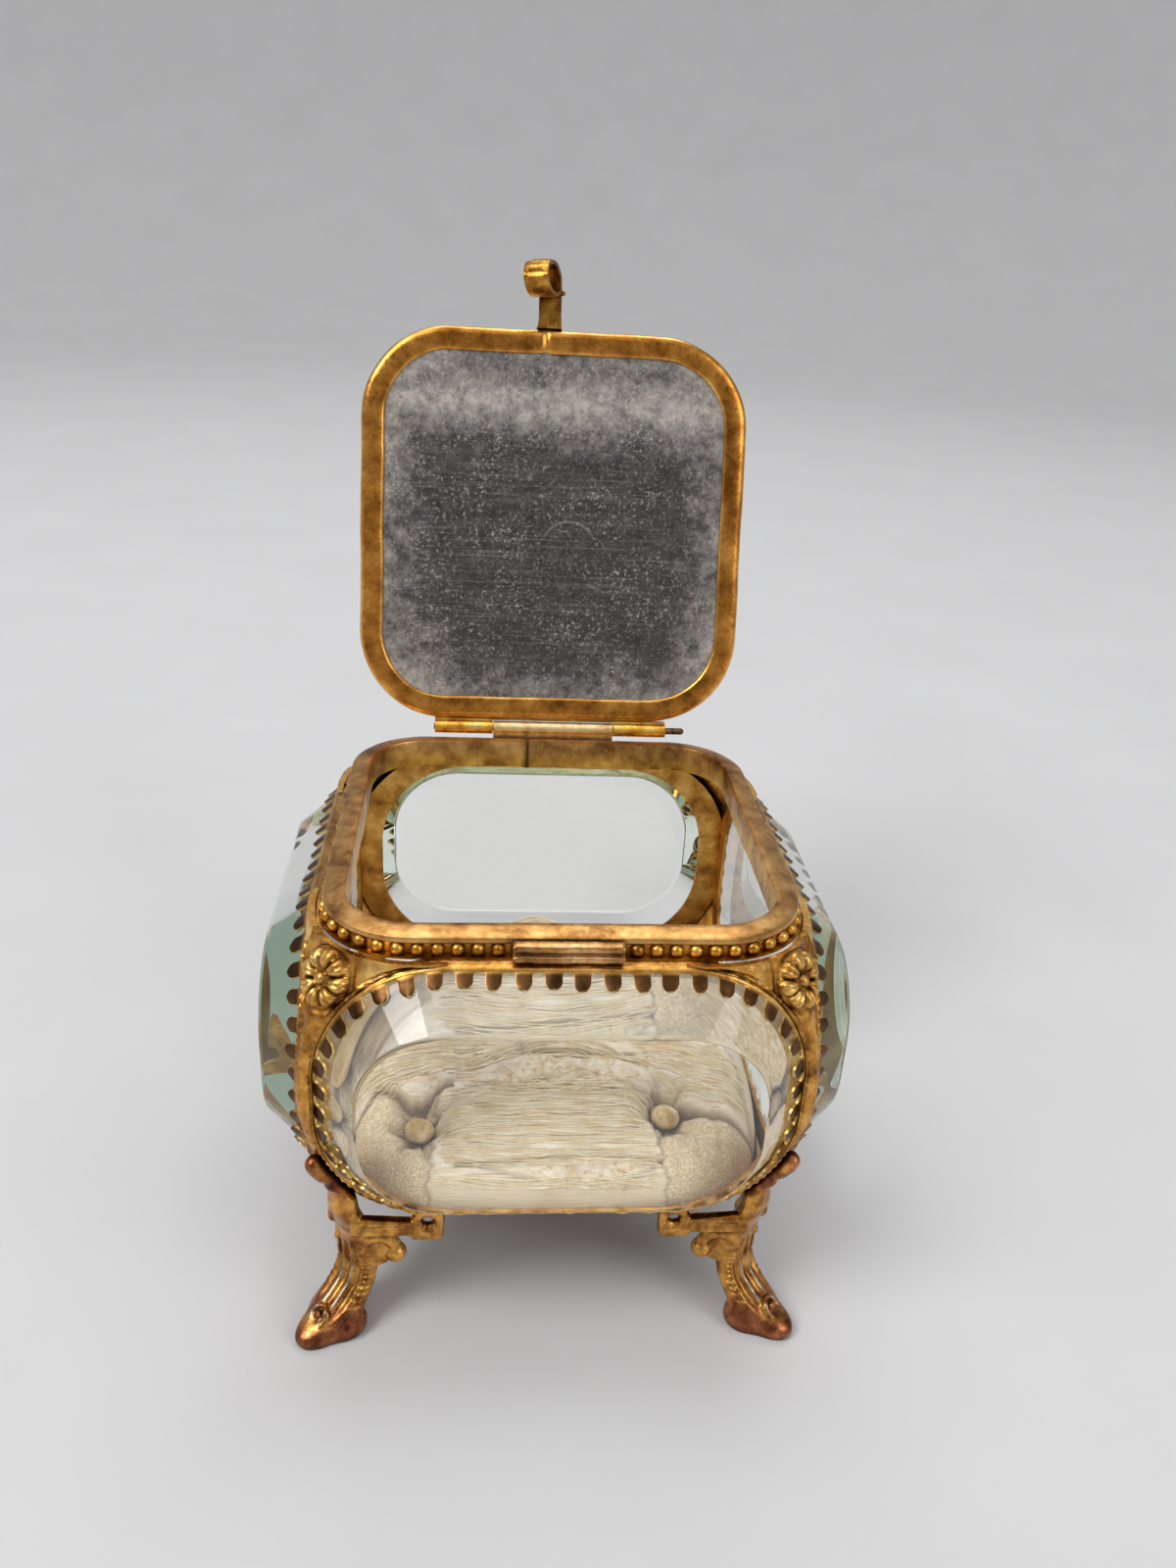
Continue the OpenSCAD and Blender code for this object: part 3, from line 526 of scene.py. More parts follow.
def piece(name, points, faces, key, node, angle, attributes=None, body="box"):
    """A visible piece in place of one of the frame's nodes; edges sharper than the angle stay sharp."""
    place = lid_to_frame if body == "lid" else to_frame
    mesh = new_mesh(name, place(points), faces)
    mesh.materials.append(M[key])
    for label, values in (attributes or {}).items():
        layer = mesh.attributes.new(label, "FLOAT", "POINT")
        layer.data.foreach_set("value", np.asarray(values, np.float32))
    mesh.validate()
    tidy = bmesh.new()
    tidy.from_mesh(mesh)
    bmesh.ops.recalc_face_normals(tidy, faces=tidy.faces)
    tidy.to_mesh(mesh)
    tidy.free()
    mesh.shade_smooth()
    mesh.set_sharp_from_angle(angle=radians(angle))
    obj = add_object(name, mesh)
    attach(obj, body)
    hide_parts(node)
    return obj


def joined(parts):
    """Joins (points, faces) pairs into one pair."""
    points, faces, base = [], [], 0
    for part_points, part_faces in parts:
        part_points = np.asarray(part_points, float).reshape(-1, 3)
        points.append(part_points)
        faces += [tuple(base + i for i in face) for face in part_faces]
        base += len(part_points)
    return np.concatenate(points), faces


def wave_sum(position, seed, counts, heights):
    """A smooth, repeatable unevenness along a closed line: so many waves of each height."""
    dice = random.Random(seed)
    total = np.zeros_like(position)
    for count, height in zip(counts, heights):
        total += height * np.sin(2 * pi * (count * position + dice.random()))
    return total


def sweep(profile, a, b, r, low, count, wobble=0.0, seed=1, seam=None):
    """Sweeps (out, up) points round a rounded rectangle, with a little unevenness and a butt seam."""
    line = rounded(a, b, r, count)
    position = np.arange(count) / count
    push = wave_sum(position, seed, (3, 7, 13, 29), (wobble, wobble * 0.6, wobble * 0.4, wobble * 0.2))
    lift = wave_sum(position, seed + 9, (2, 5, 11, 23), (wobble, wobble * 0.5, wobble * 0.4, wobble * 0.2))
    rows = []
    for out, up in profile:
        dent = np.zeros(count)
        if seam:
            at, width, depth = seam
            away = np.minimum(np.abs(position - at), 1 - np.abs(position - at)) * 4 * (a + b)
            dent = depth * bell(away, width)
        reach = out + push - dent * 0.7
        x, y, t = line.T
        rows.append(np.stack([x + reach * np.cos(t), y + reach * np.sin(t), low + up + lift * 0.2 - dent], 1))
    points = np.concatenate(rows)
    return points, sheet_faces(len(profile), count, wrap_columns=True, wrap_rows=True)


def ball(x, y, z, r, squash, rings, around):
    points = [(x, y, z - r * squash)]
    for i in range(1, rings):
        a = pi * i / rings
        for j in range(around):
            t = circle(j, around)
            points.append((x + r * sin(a) * cos(t), y + r * sin(a) * sin(t), z - r * squash * cos(a)))
    points.append((x, y, z + r * squash))
    top = len(points) - 1
    faces = sheet_faces(rings - 1, around, wrap_columns=True, base=1)
    faces += [(0, 1 + (j + 1) % around, 1 + j) for j in range(around)]
    last = 1 + (rings - 2) * around
    faces += [(top, last + j, last + (j + 1) % around) for j in range(around)]
    return points, faces


# Top rim and bead band; a seam is its place along the line, its width and its depth
RIM_SEAM = (0.265, 0.7, 0.22)
LID_SEAM = (0.7415, 0.5, -0.3)


def make_rim():
    fall = LIP_H - 0.5
    profile = [(-RIM_FACE, LIP_H - SKIRT_H), (-RIM_FACE + SHEET, LIP_H - SKIRT_H), (-RIM_FACE + SHEET, 0.4),
               (-0.9, 0.4), (-0.7, 0.05), (-0.15, 0.0), (0.0, 0.25), (0.0, fall - 0.45), (-0.12, fall - 0.15),
               (-0.45, fall + 0.05), (-1.3, fall + 0.24), (-2.4, LIP_H - 0.1), (-3.1, LIP_H),
               (-3.45, LIP_H - 0.08), (-RIM_FACE, LIP_H - 0.35)]
    points, faces = sweep(profile, BOX_HALF, BOX_HALF, RIM_CORNER, LIP_Z, 480, 0.06, 3, RIM_SEAM)
    count = len(points) // len(profile)
    skirt = np.repeat([1.0 if up < -0.5 else 0.0 for _, up in profile], count)
    away = np.abs(np.arange(count) / count - RIM_SEAM[0]) * 8 * BOX_HALF
    seam = np.tile(bell(away, 0.5), len(profile))
    piece("rim", points, faces, "rim", "top_rim", 30, {"skirt": skirt, "seam": seam})


def make_band():
    top = LIP_Z - BAND_Z
    ledge = INNER_PLANE + SHEET - BAND_HALF
    corner = RIM_CORNER - 0.5
    strip = sweep([(-SHEET, 0), (ledge, 0), (ledge, 0.3), (0, 0.3), (0, top - 0.02), (-SHEET, top - 0.02)],
                  BAND_HALF, BAND_HALF, corner, BAND_Z, 320)
    dice = random.Random(5)
    parts = [strip]
    beads, bead_r, bead_z = 92, 1.14, BAND_Z + 1.22
    for x, y, t in rounded(BAND_HALF, BAND_HALF, corner, beads * 2)[1::2]:
        out = 0.1 + dice.uniform(-0.05, 0.03)
        r = bead_r * dice.uniform(0.95, 1.02)
        parts.append(ball(x + out * cos(t), y + out * sin(t), bead_z + dice.uniform(-0.03, 0.03), r,
                          dice.uniform(0.90, 0.95), 10, 16))
    points, faces = joined(parts)
    piece("bead_row", points, faces, "band", "bead_band", 35)


def make_catch():
    """Two-step ledge with rounded edges, a little worn along its length."""
    near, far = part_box("catch_bar")
    back, low, high = far.y / MM - BOX_Y, near.z / MM, far.z / MM
    front, half = near.y / MM - BOX_Y, (far.x - near.x) / 2 / MM
    outline = [(0.3, 0), (0.08, 0.08), (0, 0.3), (0, 0.78), (0.1, 0.98), (0.34, 1.06), (0.62, 1.02),
               (0.72, 1.16), (0.62, 1.34)]
    profile = [(back, low)] + [(front + y, low + z) for y, z in outline]
    profile += [(front + 0.56, high - 0.5), (front + 0.64, high - 0.16), (front + 0.9, high), (back, high)]
    dice = random.Random(8)
    points = []
    steps = 48
    for i in range(steps + 1):
        x = half * (2 * i / steps - 1)
        draw = 0.12 if i in (0, steps) else 0.0
        bend = 0.05 * sin(x * 0.7) + 0.03 * sin(x * 1.9 + 1) + dice.uniform(0, 0.02)
        points += [(x, y + (draw + bend if y < back else 0), z + (draw if z < low + 0.5 else -draw))
                   for y, z in profile]
    n = len(profile)
    faces = sheet_faces(steps + 1, n, wrap_columns=True)
    faces += [tuple(range(n)), tuple(range(steps * n, len(points)))[::-1]]
    piece("catch_ledge", points, faces, "catch", "catch_bar", 50)


# Bezels
CLAW_LEN = 3.1
CLAW_ROUND_FROM = 0.56


def make_claw(x, y, t, dice):
    """A bent tongue that starts inside the ring's crest and follows the bevel inwards."""
    half = 1.26 * dice.uniform(0.92, 1.04)
    length = CLAW_LEN * dice.uniform(0.92, 1.06)
    thick = 0.4
    tilt = BEVEL_SLOPE + radians(dice.uniform(-2.0, 3.0))
    skew = radians(dice.uniform(-4, 4))
    along = [-0.55, 0.0, 0.12, 0.28, 0.5, 0.8, 1.2, 1.6, 2.0, 2.3, 2.55, 2.75, 2.9, 3.0, 3.07, CLAW_LEN]
    across = np.sin(np.linspace(-pi / 2, pi / 2, 11))
    top, low, tips, rims = [], [], [], []
    for a in along:
        part = a / CLAW_LEN
        width = half + 0.8 * exp(-(max(part, 0) / 0.13) ** 2)
        if part > CLAW_ROUND_FROM:
            width *= sqrt(max(0.0, 1 - ((part - CLAW_ROUND_FROM) / 0.445) ** 2))
        inward = a * length / CLAW_LEN
        rise = CLAW_RISE - 0.36 / cos(BEVEL_SLOPE) + 0.03
        for w in across:
            crown = 0.14 * (1 - w * w)
            for layer, height in ((top, thick + crown), (low, 0.0)):
                px = -inward * cos(tilt) + height * sin(tilt)
                pz = rise + inward * sin(tilt) + height * cos(tilt)
                side = w * width + inward * sin(skew)
                layer.append((x + px * cos(t) - side * sin(t), y + px * sin(t) + side * cos(t), pz))
            tips.append(max(0.0, min(1.0, (part - 0.04) / 0.2)))
            rims.append(1.0 if abs(w) > 0.97 or part > 0.985 else 0.0)
    return top + low, double_sheet_faces(len(along), len(across)), tips * 2, rims * 2


def make_bezel(quarter):
    side = SIDES[quarter]
    dice = random.Random(40 + quarter)
    profile = [(0.0, 0.0), (FLANGE_W, 0.0), (FLANGE_W, 0.8), (0.92, 1.0), (0.8, 1.5), (0.66, 2.05),
               (0.46, 2.38), (0.2, 2.5), (0.0, 2.42), (-0.06, 2.0), (-0.05, SHEET)]
    ring, ring_faces = sweep(profile, BOX_HALF, ROOT_HALF_H, OVAL_CORNER, 0.0, 288, 0.03, 60 + quarter)
    count = 160
    plate_out = rounded(BOX_HALF + 0.5, ROOT_HALF_H + 0.5, OVAL_CORNER + 0.5, count)
    plate_in = rounded(BOX_HALF - 4.2, ROOT_HALF_H - 2.2, OVAL_CORNER - 2.2, count)
    plate = np.concatenate([np.column_stack([loop[:, :2], np.full(count, z)]) for loop, z in
                            ((plate_out, 0.0), (plate_in, 0.0), (plate_in, SHEET), (plate_out, SHEET))])
    for points in (ring, plate):
        mitre = INNER_PLANE + points[:, 2] - 0.03
        points[:, 0] = np.clip(points[:, 0], -mitre, mitre)
    parts = [(ring, ring_faces), (plate, sheet_faces(4, count, wrap_columns=True, wrap_rows=True))]
    none = np.zeros(len(ring) + len(plate))
    tips, rims = [none], [none]
    claws = 48
    for x, y, t in rounded(BOX_HALF, ROOT_HALF_H, OVAL_CORNER, claws * 2)[1::2]:
        points, faces, tip, rim = make_claw(x, y, t, dice)
        parts.append((points, faces))
        tips.append(tip)
        rims.append(rim)
    points, faces = joined(parts)
    layers = {"tip": np.concatenate(tips), "rim": np.concatenate(rims)}
    piece("bezel_claws_" + side, face_layout(points, quarter), faces, "claws", "bezel_" + side,
          50, layers)


# Glass: a flat block whose rim is bevelled all round
GLASS_POINTS = 240
GROUND_ROWS = 3


def glass_slab(half_w, half_h, r, edge, height, width):
    count = GLASS_POINTS
    soft = 0.12
    loops = [(0.0, soft), (soft, 0.0), (edge - soft, 0.0), (edge, 0.04), (edge + soft, 0.12)]
    slope = (height - edge) / width
    loops += [(edge + 0.5 * slope, 0.5), (height - 0.5 * slope, width - 0.5),
              (height - 0.10, width - 0.06), (height, width + 0.12)]
    rows = []
    for z, inset in loops:
        line = rounded(half_w - inset, half_h - inset, r - inset, count)
        rows.append(np.column_stack([line[:, :2], np.full(count, z)]))
    points = np.concatenate(rows)
    faces = sheet_faces(len(loops), count, wrap_columns=True)
    faces += [tuple(range(count))[::-1], tuple(range(len(points) - count, len(points)))]
    return points, faces


def make_side_glass(quarter):
    points, faces = glass_slab(BOX_HALF - GLASS_GAP, ROOT_HALF_H - GLASS_GAP, OVAL_CORNER - GLASS_GAP,
                               GLASS_EDGE, GLASS_OUT - GLASS_SEAT, BEVEL_W)
    points = points + np.array([0, 0, SHEET + 0.02])
    side = SIDES[quarter]
    pane = piece("pane_" + side, face_layout(points, quarter), faces, "glass", "glass_" + side,
                 25)
    pane.data.materials.append(M["ground"])
    for face in pane.data.polygons[:GLASS_POINTS * GROUND_ROWS]:
        face.material_index = 1


# Corner pieces
CORNER_REACH = 39.3
CORNER_POWER = 1.8
ROSETTE_Z = BAND_Z - 4.5
ROSETTE_R = 4.7
PETALS = 8


def corner_at(z):
    part = np.minimum(1, np.abs(z - MID_Z) / BEZEL_HALF_H)
    fall = np.where(z > MID_Z, 5.1, 6.8)
    return CORNER_REACH - fall * part ** CORNER_POWER


def corner_row(z, lift, columns):
    part = min(1, abs(z - MID_Z) / BEZEL_HALF_H)
    lap = 0.4 + (FLANGE_W - 0.1 - 0.4) * part
    drop = max(0, abs(z - MID_Z) - (ROOT_HALF_H - OVAL_CORNER))
    side = BOX_HALF - OVAL_CORNER + sqrt(max(0, (OVAL_CORNER + lap) ** 2 - drop ** 2))
    height = CLAW_RISE - (lap - 0.25) / (FLANGE_W - 0.25) * (CLAW_RISE - SHEET - 0.2)
    out = INNER_PLANE + height + 0.15 + lift
    reach = float(corner_at(z)) - SHEET + lift
    knee = 2 * reach - (side + out) / 2
    t = np.linspace(0, 1, columns)
    u = 1 - t
    return np.stack([u * u * side + 2 * t * u * knee + t * t * out,
                     -(u * u * out + 2 * t * u * knee + t * t * side), np.full(columns, z)], 1)


def make_corner(index):
    rows, columns = 270, 60
    low, high = STAND_H + SHEET + 0.04, BAND_Z - 0.04
    levels = []
    for i in range(rows):
        a = -pi / 2 + pi * i / (rows - 1)
        levels.append(MID_Z + sin(a) * ((MID_Z - low) if a < 0 else (high - MID_Z)))
    outer = np.array([corner_row(z, SHEET, columns) for z in levels])
    inner = np.array([corner_row(z, 0.0, columns) for z in levels])
    t = np.linspace(0, 1, columns)[None, :]
    z = np.array(levels)[:, None]
    along = np.linalg.norm(outer - outer[:, :1], axis=2)
    back = np.linalg.norm(outer - outer[:, -1:], axis=2)
    edge = np.minimum(along, back)
    width = np.linalg.norm(outer[:, -1] - outer[:, 0], axis=1)[:, None]
    wide = climb(width - 4, 8)
    reach = float(corner_at(ROSETTE_Z))
    rosette = np.array([reach, -reach, ROSETTE_Z])
    offset = outer - rosette
    across = (offset[:, :, 0] + offset[:, :, 1]) / sqrt(2)
    upward = offset[:, :, 2] * 1.1
    radius = np.hypot(across, upward)
    turn = np.arctan2(upward, across)
    petal = ((turn * PETALS / (2 * pi) + 0.5) % 1 - 0.5) * 2 * pi / PETALS
    sideways = radius * np.sin(petal)
    outward = radius * np.cos(petal)
    petal_at, petal_half, petal_lift, vein_depth = 2.9, 1.6, 1.15, 0.34
    puff = 1 - (sideways / np.maximum(0.42 * outward, 0.3)) ** 2 - ((outward - petal_at) / petal_half) ** 2
    bloom = petal_lift * np.sqrt(share(puff)) - vein_depth * bell(sideways, 0.2) * (puff > 0)
    bloom = np.maximum(bloom, np.sqrt(share(1 - radius ** 2)))
    near = radius < ROSETTE_R
    above = z > MID_Z
    hollow = 0.35 * bell(radius - 4.8, 0.6) * (radius < 7) * above
    rope_pitch = 1.15
    twist = 0.72 + 0.28 * np.cos(2 * pi * (z / rope_pitch + 0.9 * edge))
    border = 0.44 * twist * bell(edge - 0.5, 0.3) - 0.12 * wide * bell(edge - 1.15, 0.3)
    spine = 0.3 * (1 - wide) * bell(np.abs(t - 0.5) * width, 0.9)
    down = BAND_Z - outer[:, :, 2]
    past_fold = np.abs(across) - (5.3 + 0.16 * down)
    folds = 0.34 * bell(past_fold, 0.4) - 0.22 * bell(past_fold + 0.9, 0.5)
    crease = 0.16 * bell(past_fold - 1.6 - 0.3 * down, 0.35)
    swell = 0.5 * climb(past_fold, 3) * climb(edge - 0.8, 1.5)
    fan_turn, flute_count = np.arctan2(across, outer[:, :, 2] - (STAND_H - 4)), 15
    flutes = 0.2 * wide * np.cos(fan_turn * flute_count) * climb(edge - 2.0, 1.2)
    leaves = np.where(above, (folds + crease) * wide + swell, flutes)
    lift = border + spine + np.where(near, bloom, leaves - hollow)
    lift += 0.04 * np.sin(z * 2.1 + index) * np.sin(t * 9 + index)
    # Lighter tint on the smooth leaves past the fold, and painted highlight on the rosette's petal tops.
    smooth_and_petal_highlight = np.maximum(climb(past_fold, 1.2) * above, near * share(bloom) ** 1.5)
    normal = np.cross(np.gradient(outer, axis=1), np.gradient(outer, axis=0))
    normal /= np.maximum(np.linalg.norm(normal, axis=2, keepdims=True), 1e-9)
    if normal[rows // 2, columns // 2, 0] < 0:
        normal = -normal
    outer = outer + normal * (lift * climb(edge, 0.3))[:, :, None]
    points = np.concatenate([outer.reshape(-1, 3), inner.reshape(-1, 3)])
    faces = double_sheet_faces(rows, columns)
    name = CORNERS[index]
    piece("spandrel_" + name, turned(points, index), faces, "corner", "corner_" + name, 60,
          {"smooth_and_petal_highlight": np.concatenate([smooth_and_petal_highlight.reshape(-1)] * 2)})


# Feet: one casting, shaped in leg coordinates (outwards, sideways, up) and cast into one skin
VOXEL = 0.17
SOLE_OUT = 51.73
SCROLL_OUT = 54.1
LEG = np.array([
    # height, middle, half depth, half width, lobes
    (0.0, SOLE_OUT, 5.3, 4.6, 0.16), (0.6, SOLE_OUT, 5.7, 5.0, 0.16), (1.4, SOLE_OUT, 5.8, 5.1, 0.17),
    (2.4, 51.6, 5.5, 5.0, 0.17), (3.2, 51.1, 4.8, 4.7, 0.16), (4.4, 50.1, 3.5, 4.4, 0.13),
    (5.8, 48.2, 2.9, 4.2, 0.08), (8.2, 46.0, 2.4, 4.2, 0), (11.2, 45.2, 2.2, 4.1, 0),
    (15.2, 45.5, 2.2, 4.1, 0), (19.0, 46.4, 2.2, 3.9, 0), (24.2, 48.2, 2.0, 3.3, 0)])
POST = [(27.0, 1.8, 2.8), (28.5, 1.3, 1.5), (29.8, 1.55, 1.65), (30.9, 1.1, 1.15), (32.4, 1.5, 1.6),
        (34.6, 1.6, 1.65), (36.2, 1.5, 1.5), (37.2, 1.15, 1.15), (37.7, 0.6, 0.6)]


def leg_table():
    rows = [tuple(row) for row in LEG]
    for z, depth, width in POST:
        rows.append((z, float(corner_at(z)) * sqrt(2) + 0.2 + depth, depth, width, 0))
    rows = np.array(rows)
    heights = np.linspace(0, rows[-1, 0], 150)
    table = np.column_stack([heights] + [np.interp(heights, rows[:, 0], rows[:, k]) for k in range(1, 5)])
    kernel = np.array([1, 2, 3, 2, 1]) / 9
    for k in range(1, 5):
        padded = np.pad(table[:, k], 2, mode="edge")
        table[:, k] = np.convolve(padded, kernel, "valid")
    return table


def leg_to_box(points):
    points = np.asarray(points, float)
    return np.stack([(points[:, 0] + points[:, 1]) / sqrt(2), (points[:, 1] - points[:, 0]) / sqrt(2),
                     points[:, 2]], 1)


def tube(path, sizes, around, power=2.0):
    """A closed tube along a path; sizes are its half-height and half-width at each point."""
    path, sizes = np.array(path, float), np.array(sizes, float)
    tangent = np.gradient(path, axis=0)
    tangent /= np.linalg.norm(tangent, axis=1)[:, None]
    points = []
    for i in range(len(path)):
        flat = np.cross(tangent[i], (0, 0, 1.0))
        if np.linalg.norm(flat) < 0.2:
            flat = np.array([0, 1.0, 0])
        flat /= np.linalg.norm(flat)
        tall = np.cross(flat, tangent[i])
        for k in range(around):
            a = circle(k, around)
            c, q = cos(a), sin(a)
            c, q = abs(c) ** (2 / power) * (1 if c > 0 else -1), abs(q) ** (2 / power) * (1 if q > 0 else -1)
            points.append(path[i] + tall * sizes[i][0] * c + flat * sizes[i][1] * q)
    return np.array(points + [path[0], path[-1]]), tube_faces(len(path), around)


def ring_tube(centre, radius, thick, start=0, end=360, steps=40, grow=0.0,
              axis_a=(1, 0, 0), axis_b=(0, 0, 1)):
    centre, axis_a, axis_b = (np.array(v, float) for v in (centre, axis_a, axis_b))
    path, sizes = [], []
    for i in range(steps + 1):
        a = radians(start + (end - start) * i / steps)
        reach = radius * (1 + grow * i / steps)
        path.append(centre + axis_a * reach * cos(a) + axis_b * reach * sin(a))
        sizes.append((thick, thick))
    return tube(path, sizes, 14)


def cast(parts, voxel, rounds):
    """Joins overlapping closed shapes into one skin with soft inner corners."""
    points, faces = joined(parts)
    mesh = new_mesh("cast_raw", points, faces)
    raw = add_object("cast_raw", mesh)
    join = raw.modifiers.new("join", "REMESH")
    join.mode = "VOXEL"
    join.voxel_size = voxel
    soften = raw.modifiers.new("soften", "SMOOTH")
    soften.factor = 0.5
    soften.iterations = rounds
    result = bpy.data.meshes.new_from_object(raw.evaluated_get(bpy.context.evaluated_depsgraph_get()))
    count = len(result.vertices)
    skin, normals = np.empty(count * 3), np.empty(count * 3)
    result.vertices.foreach_get("co", skin)
    result.vertices.foreach_get("normal", normals)
    faces = [tuple(face.vertices) for face in result.polygons]
    bpy.data.objects.remove(raw)
    bpy.data.meshes.remove(mesh)
    bpy.data.meshes.remove(result)
    return skin.reshape(-1, 3), normals.reshape(-1, 3), faces


def arm_parts():
    """An arm that ends in an openwork scroll under the pan, with a knob and its web below it."""
    face = BOX_HALF - 1.2
    path, sizes = [], []
    steps = 12
    for i in range(steps + 1):
        part = i / steps
        path.append((32.7 - 11.4 * part, -face + 0.6 * part, 21.3 - 0.8 * part))
        sizes.append((1.95 - 0.55 * part, 1.15))
    y, knob_y = -face + 0.6, -face + 0.9
    parts = [tube(path, sizes, 24, 3.2), ring_tube((20.35, y, 22.0), 1.75, 0.95),
             tube([(22.9, y, 19.6), (18.2, y, 19.5)], [(1.15, 1.3)] * 2, 20, 4),
             tube([(18.5, y, 19.2), (18.35, y, 22), (18.6, y, 25.2)], [(0.8, 1.3)] * 3, 16, 3)]
    for x in (18.9, 21.9):
        parts.append(tube([(x, y, 22.6), (x, y, STAND_H - 0.04)], [(0.75, 1.1)] * 2, 14))
    parts.append(ball(25.6, knob_y, 14.8, 1.75, 1.0, 16, 24))
    parts.append(ring_tube((28.4, knob_y, 15.4), 2.8, 1.15, 186, -10, 30))
    web = [(31.8, 11.6), (28.9, 11.9), (27.0, 12.9), (25.9, 14.2), (26.1, 16.4), (25.6, 18.0), (24.6, 20.2),
           (32.6, 20.2)]
    web_y = (-face + 0.3, -face + 1.7)
    points = [(px, py, pz) for py in web_y for px, pz in web]
    count = len(web)
    faces = [tuple(range(count)), tuple(range(count, 2 * count))[::-1]]
    faces += [(i, i + count, (i + 1) % count + count, (i + 1) % count) for i in range(count)]
    parts.append((points, faces))
    return parts


def make_feet():
    table = leg_table()
    around = 64
    points = []
    for z, middle, depth, width, lobes in table:
        for k in range(around):
            a = circle(k, around)
            r = 1 + lobes * cos(3 * a)
            points.append((middle + r * depth * cos(a), r * width * sin(a), z))
    points += [(table[0, 1], 0, 0), (table[-1, 1], 0, table[-1, 0])]
    parts = [(leg_to_box(points), tube_faces(len(table), around))]
    dressings = [ring_tube((SCROLL_OUT, 0, 4.1), 1.85, 0.5, 20, 420, 48, -0.35, (0.75, 0, -0.66), (0, 1, 0))]
    for x, y, z, r in ((54.2, 0, 4.5, 0.7), (48.7, -4.0, 2.9, 1.25), (48.7, 4.0, 2.9, 1.25)):
        dressings.append(ball(x, y, z, r, 1.0, 12, 18))
    parts += [(leg_to_box(shape), shape_faces) for shape, shape_faces in dressings]
    for shape, shape_faces in arm_parts():
        shape = np.asarray(shape, float)
        parts.append((shape, shape_faces))
        parts.append((np.stack([-shape[:, 1], -shape[:, 0], shape[:, 2]], 1), [f[::-1] for f in shape_faces]))
    skin, normals, faces = cast(parts, VOXEL, 4)
    out, side, up = (skin[:, 0] - skin[:, 1]) / sqrt(2), (skin[:, 0] + skin[:, 1]) / sqrt(2), skin[:, 2]
    arm_from, arm_to, arm_z = 22.6, 31, 20.8
    middle, depth, width = (np.interp(up, table[:, 0], table[:, k]) for k in (1, 2, 3))
    facing = (normals[:, 0] - normals[:, 1]) / sqrt(2)
    part = side / width
    on_leg = climb(facing - 0.1, 0.3) * (np.abs(part) < 1.1) * (out > middle)
    stretch = climb(up - 3.4, 1.5) * climb(17.5 - up, 2.5)
    grooves = -0.26 * np.cos(4 * pi * part) * (np.abs(part) < 0.75)
    rope = bell(np.abs(part) - 0.86, 0.11)
    rope_lift = 0.30 * rope * (0.45 + 0.55 * np.sin(2 * pi * up / 0.95))
    lift = on_leg * stretch * grooves
    lift += climb(up - 4, 2) * climb(15.5 - up, 2) * rope_lift * (out > middle - 0.6)
    toward_front = share(-normals[:, 1]) ** 2 * (skin[:, 0] < arm_to) * (skin[:, 0] > arm_from)
    toward_side = share(normals[:, 0]) ** 2 * (-skin[:, 1] < arm_to) * (-skin[:, 1] > arm_from)
    bar = share(1 - (np.abs(up - arm_z) / 1.05) ** 4)
    lift -= 0.3 * bar * (toward_front + toward_side)
    skin = skin + normals * lift[:, None]
    skin[:, 2] = np.maximum(skin[:, 2], 0.0)
    gold = climb(up - 4, 3) * climb(29.5 - up, 3) * 0.9
    gold = np.maximum(gold, bell(np.hypot(out - SCROLL_OUT, side) - 1.9, 0.7) * (up > 2.5) * 0.8)
    silvery = on_leg * stretch * share(np.cos(4 * pi * part + pi) - 0.2) * (np.abs(part) < 0.6)
    silvery = silvery * climb(13 - up, 3)
    for index, name in enumerate(CORNERS):
        piece("foot_casting_" + name, turned(skin, index), faces, "foot", "foot_" + name, 180,
              {"gold": gold, "silvery": silvery})


# Lid and clasp, drawn closed and placed open
LID_Z = RIM_Z + 0.15
LID_WALL_H = 3.3
LID_CORNER = 17.0
LID_GLASS = BOX_HALF - SHEET - GLASS_GAP
SWIVEL = radians(26)


def make_lid():
    top = LID_WALL_H + 1.5
    profile = [(-4.4, 0.5), (-4.28, 0.26), (-3.9, 0.1), (-3.2, 0.0), (-2.3, -0.04), (-1.4, 0.02),
               (-0.8, 0.14), (-0.35, 0.4), (-0.08, 0.8), (0.0, 1.4), (0.0, LID_WALL_H - 0.3),
               (-0.15, LID_WALL_H + 0.25),
               (-0.6, LID_WALL_H + 0.7), (-1.4, top - 0.35), (-2.2, top - 0.02), (-2.38, top - 0.1),
               (-2.42, top - 0.35), (-1.5, top - 0.8), (-0.7, LID_WALL_H), (-SHEET, LID_WALL_H - 0.4),
               (-SHEET, SHEET), (-4.3, SHEET)]
    count = 1200
    points, faces = sweep(profile, BOX_HALF, BOX_HALF, LID_CORNER, LID_Z, count, 0.09, 14, LID_SEAM)
    # The frame's edge and crest rows get a lighter tint.
    lighter_rows = (0, 1, 7, 8, 14, 15)
    crest = np.repeat([1.0 if i in lighter_rows else 0.15 for i in range(len(profile))], count)
    piece("lid_channel", points, faces, "lid", "lid_frame", 50, {"crest": crest}, "lid")
    edge = LID_WALL_H - SHEET - 0.5 - 0.5
    points, faces = glass_slab(LID_GLASS, LID_GLASS, LID_CORNER - SHEET - GLASS_GAP, edge, 5.3, 5.8)
    points = points + np.array([0, 0, LID_Z + SHEET + 0.54])
    piece("lid_pane", points, faces, "glass", "lid_glass", 25, body="lid")


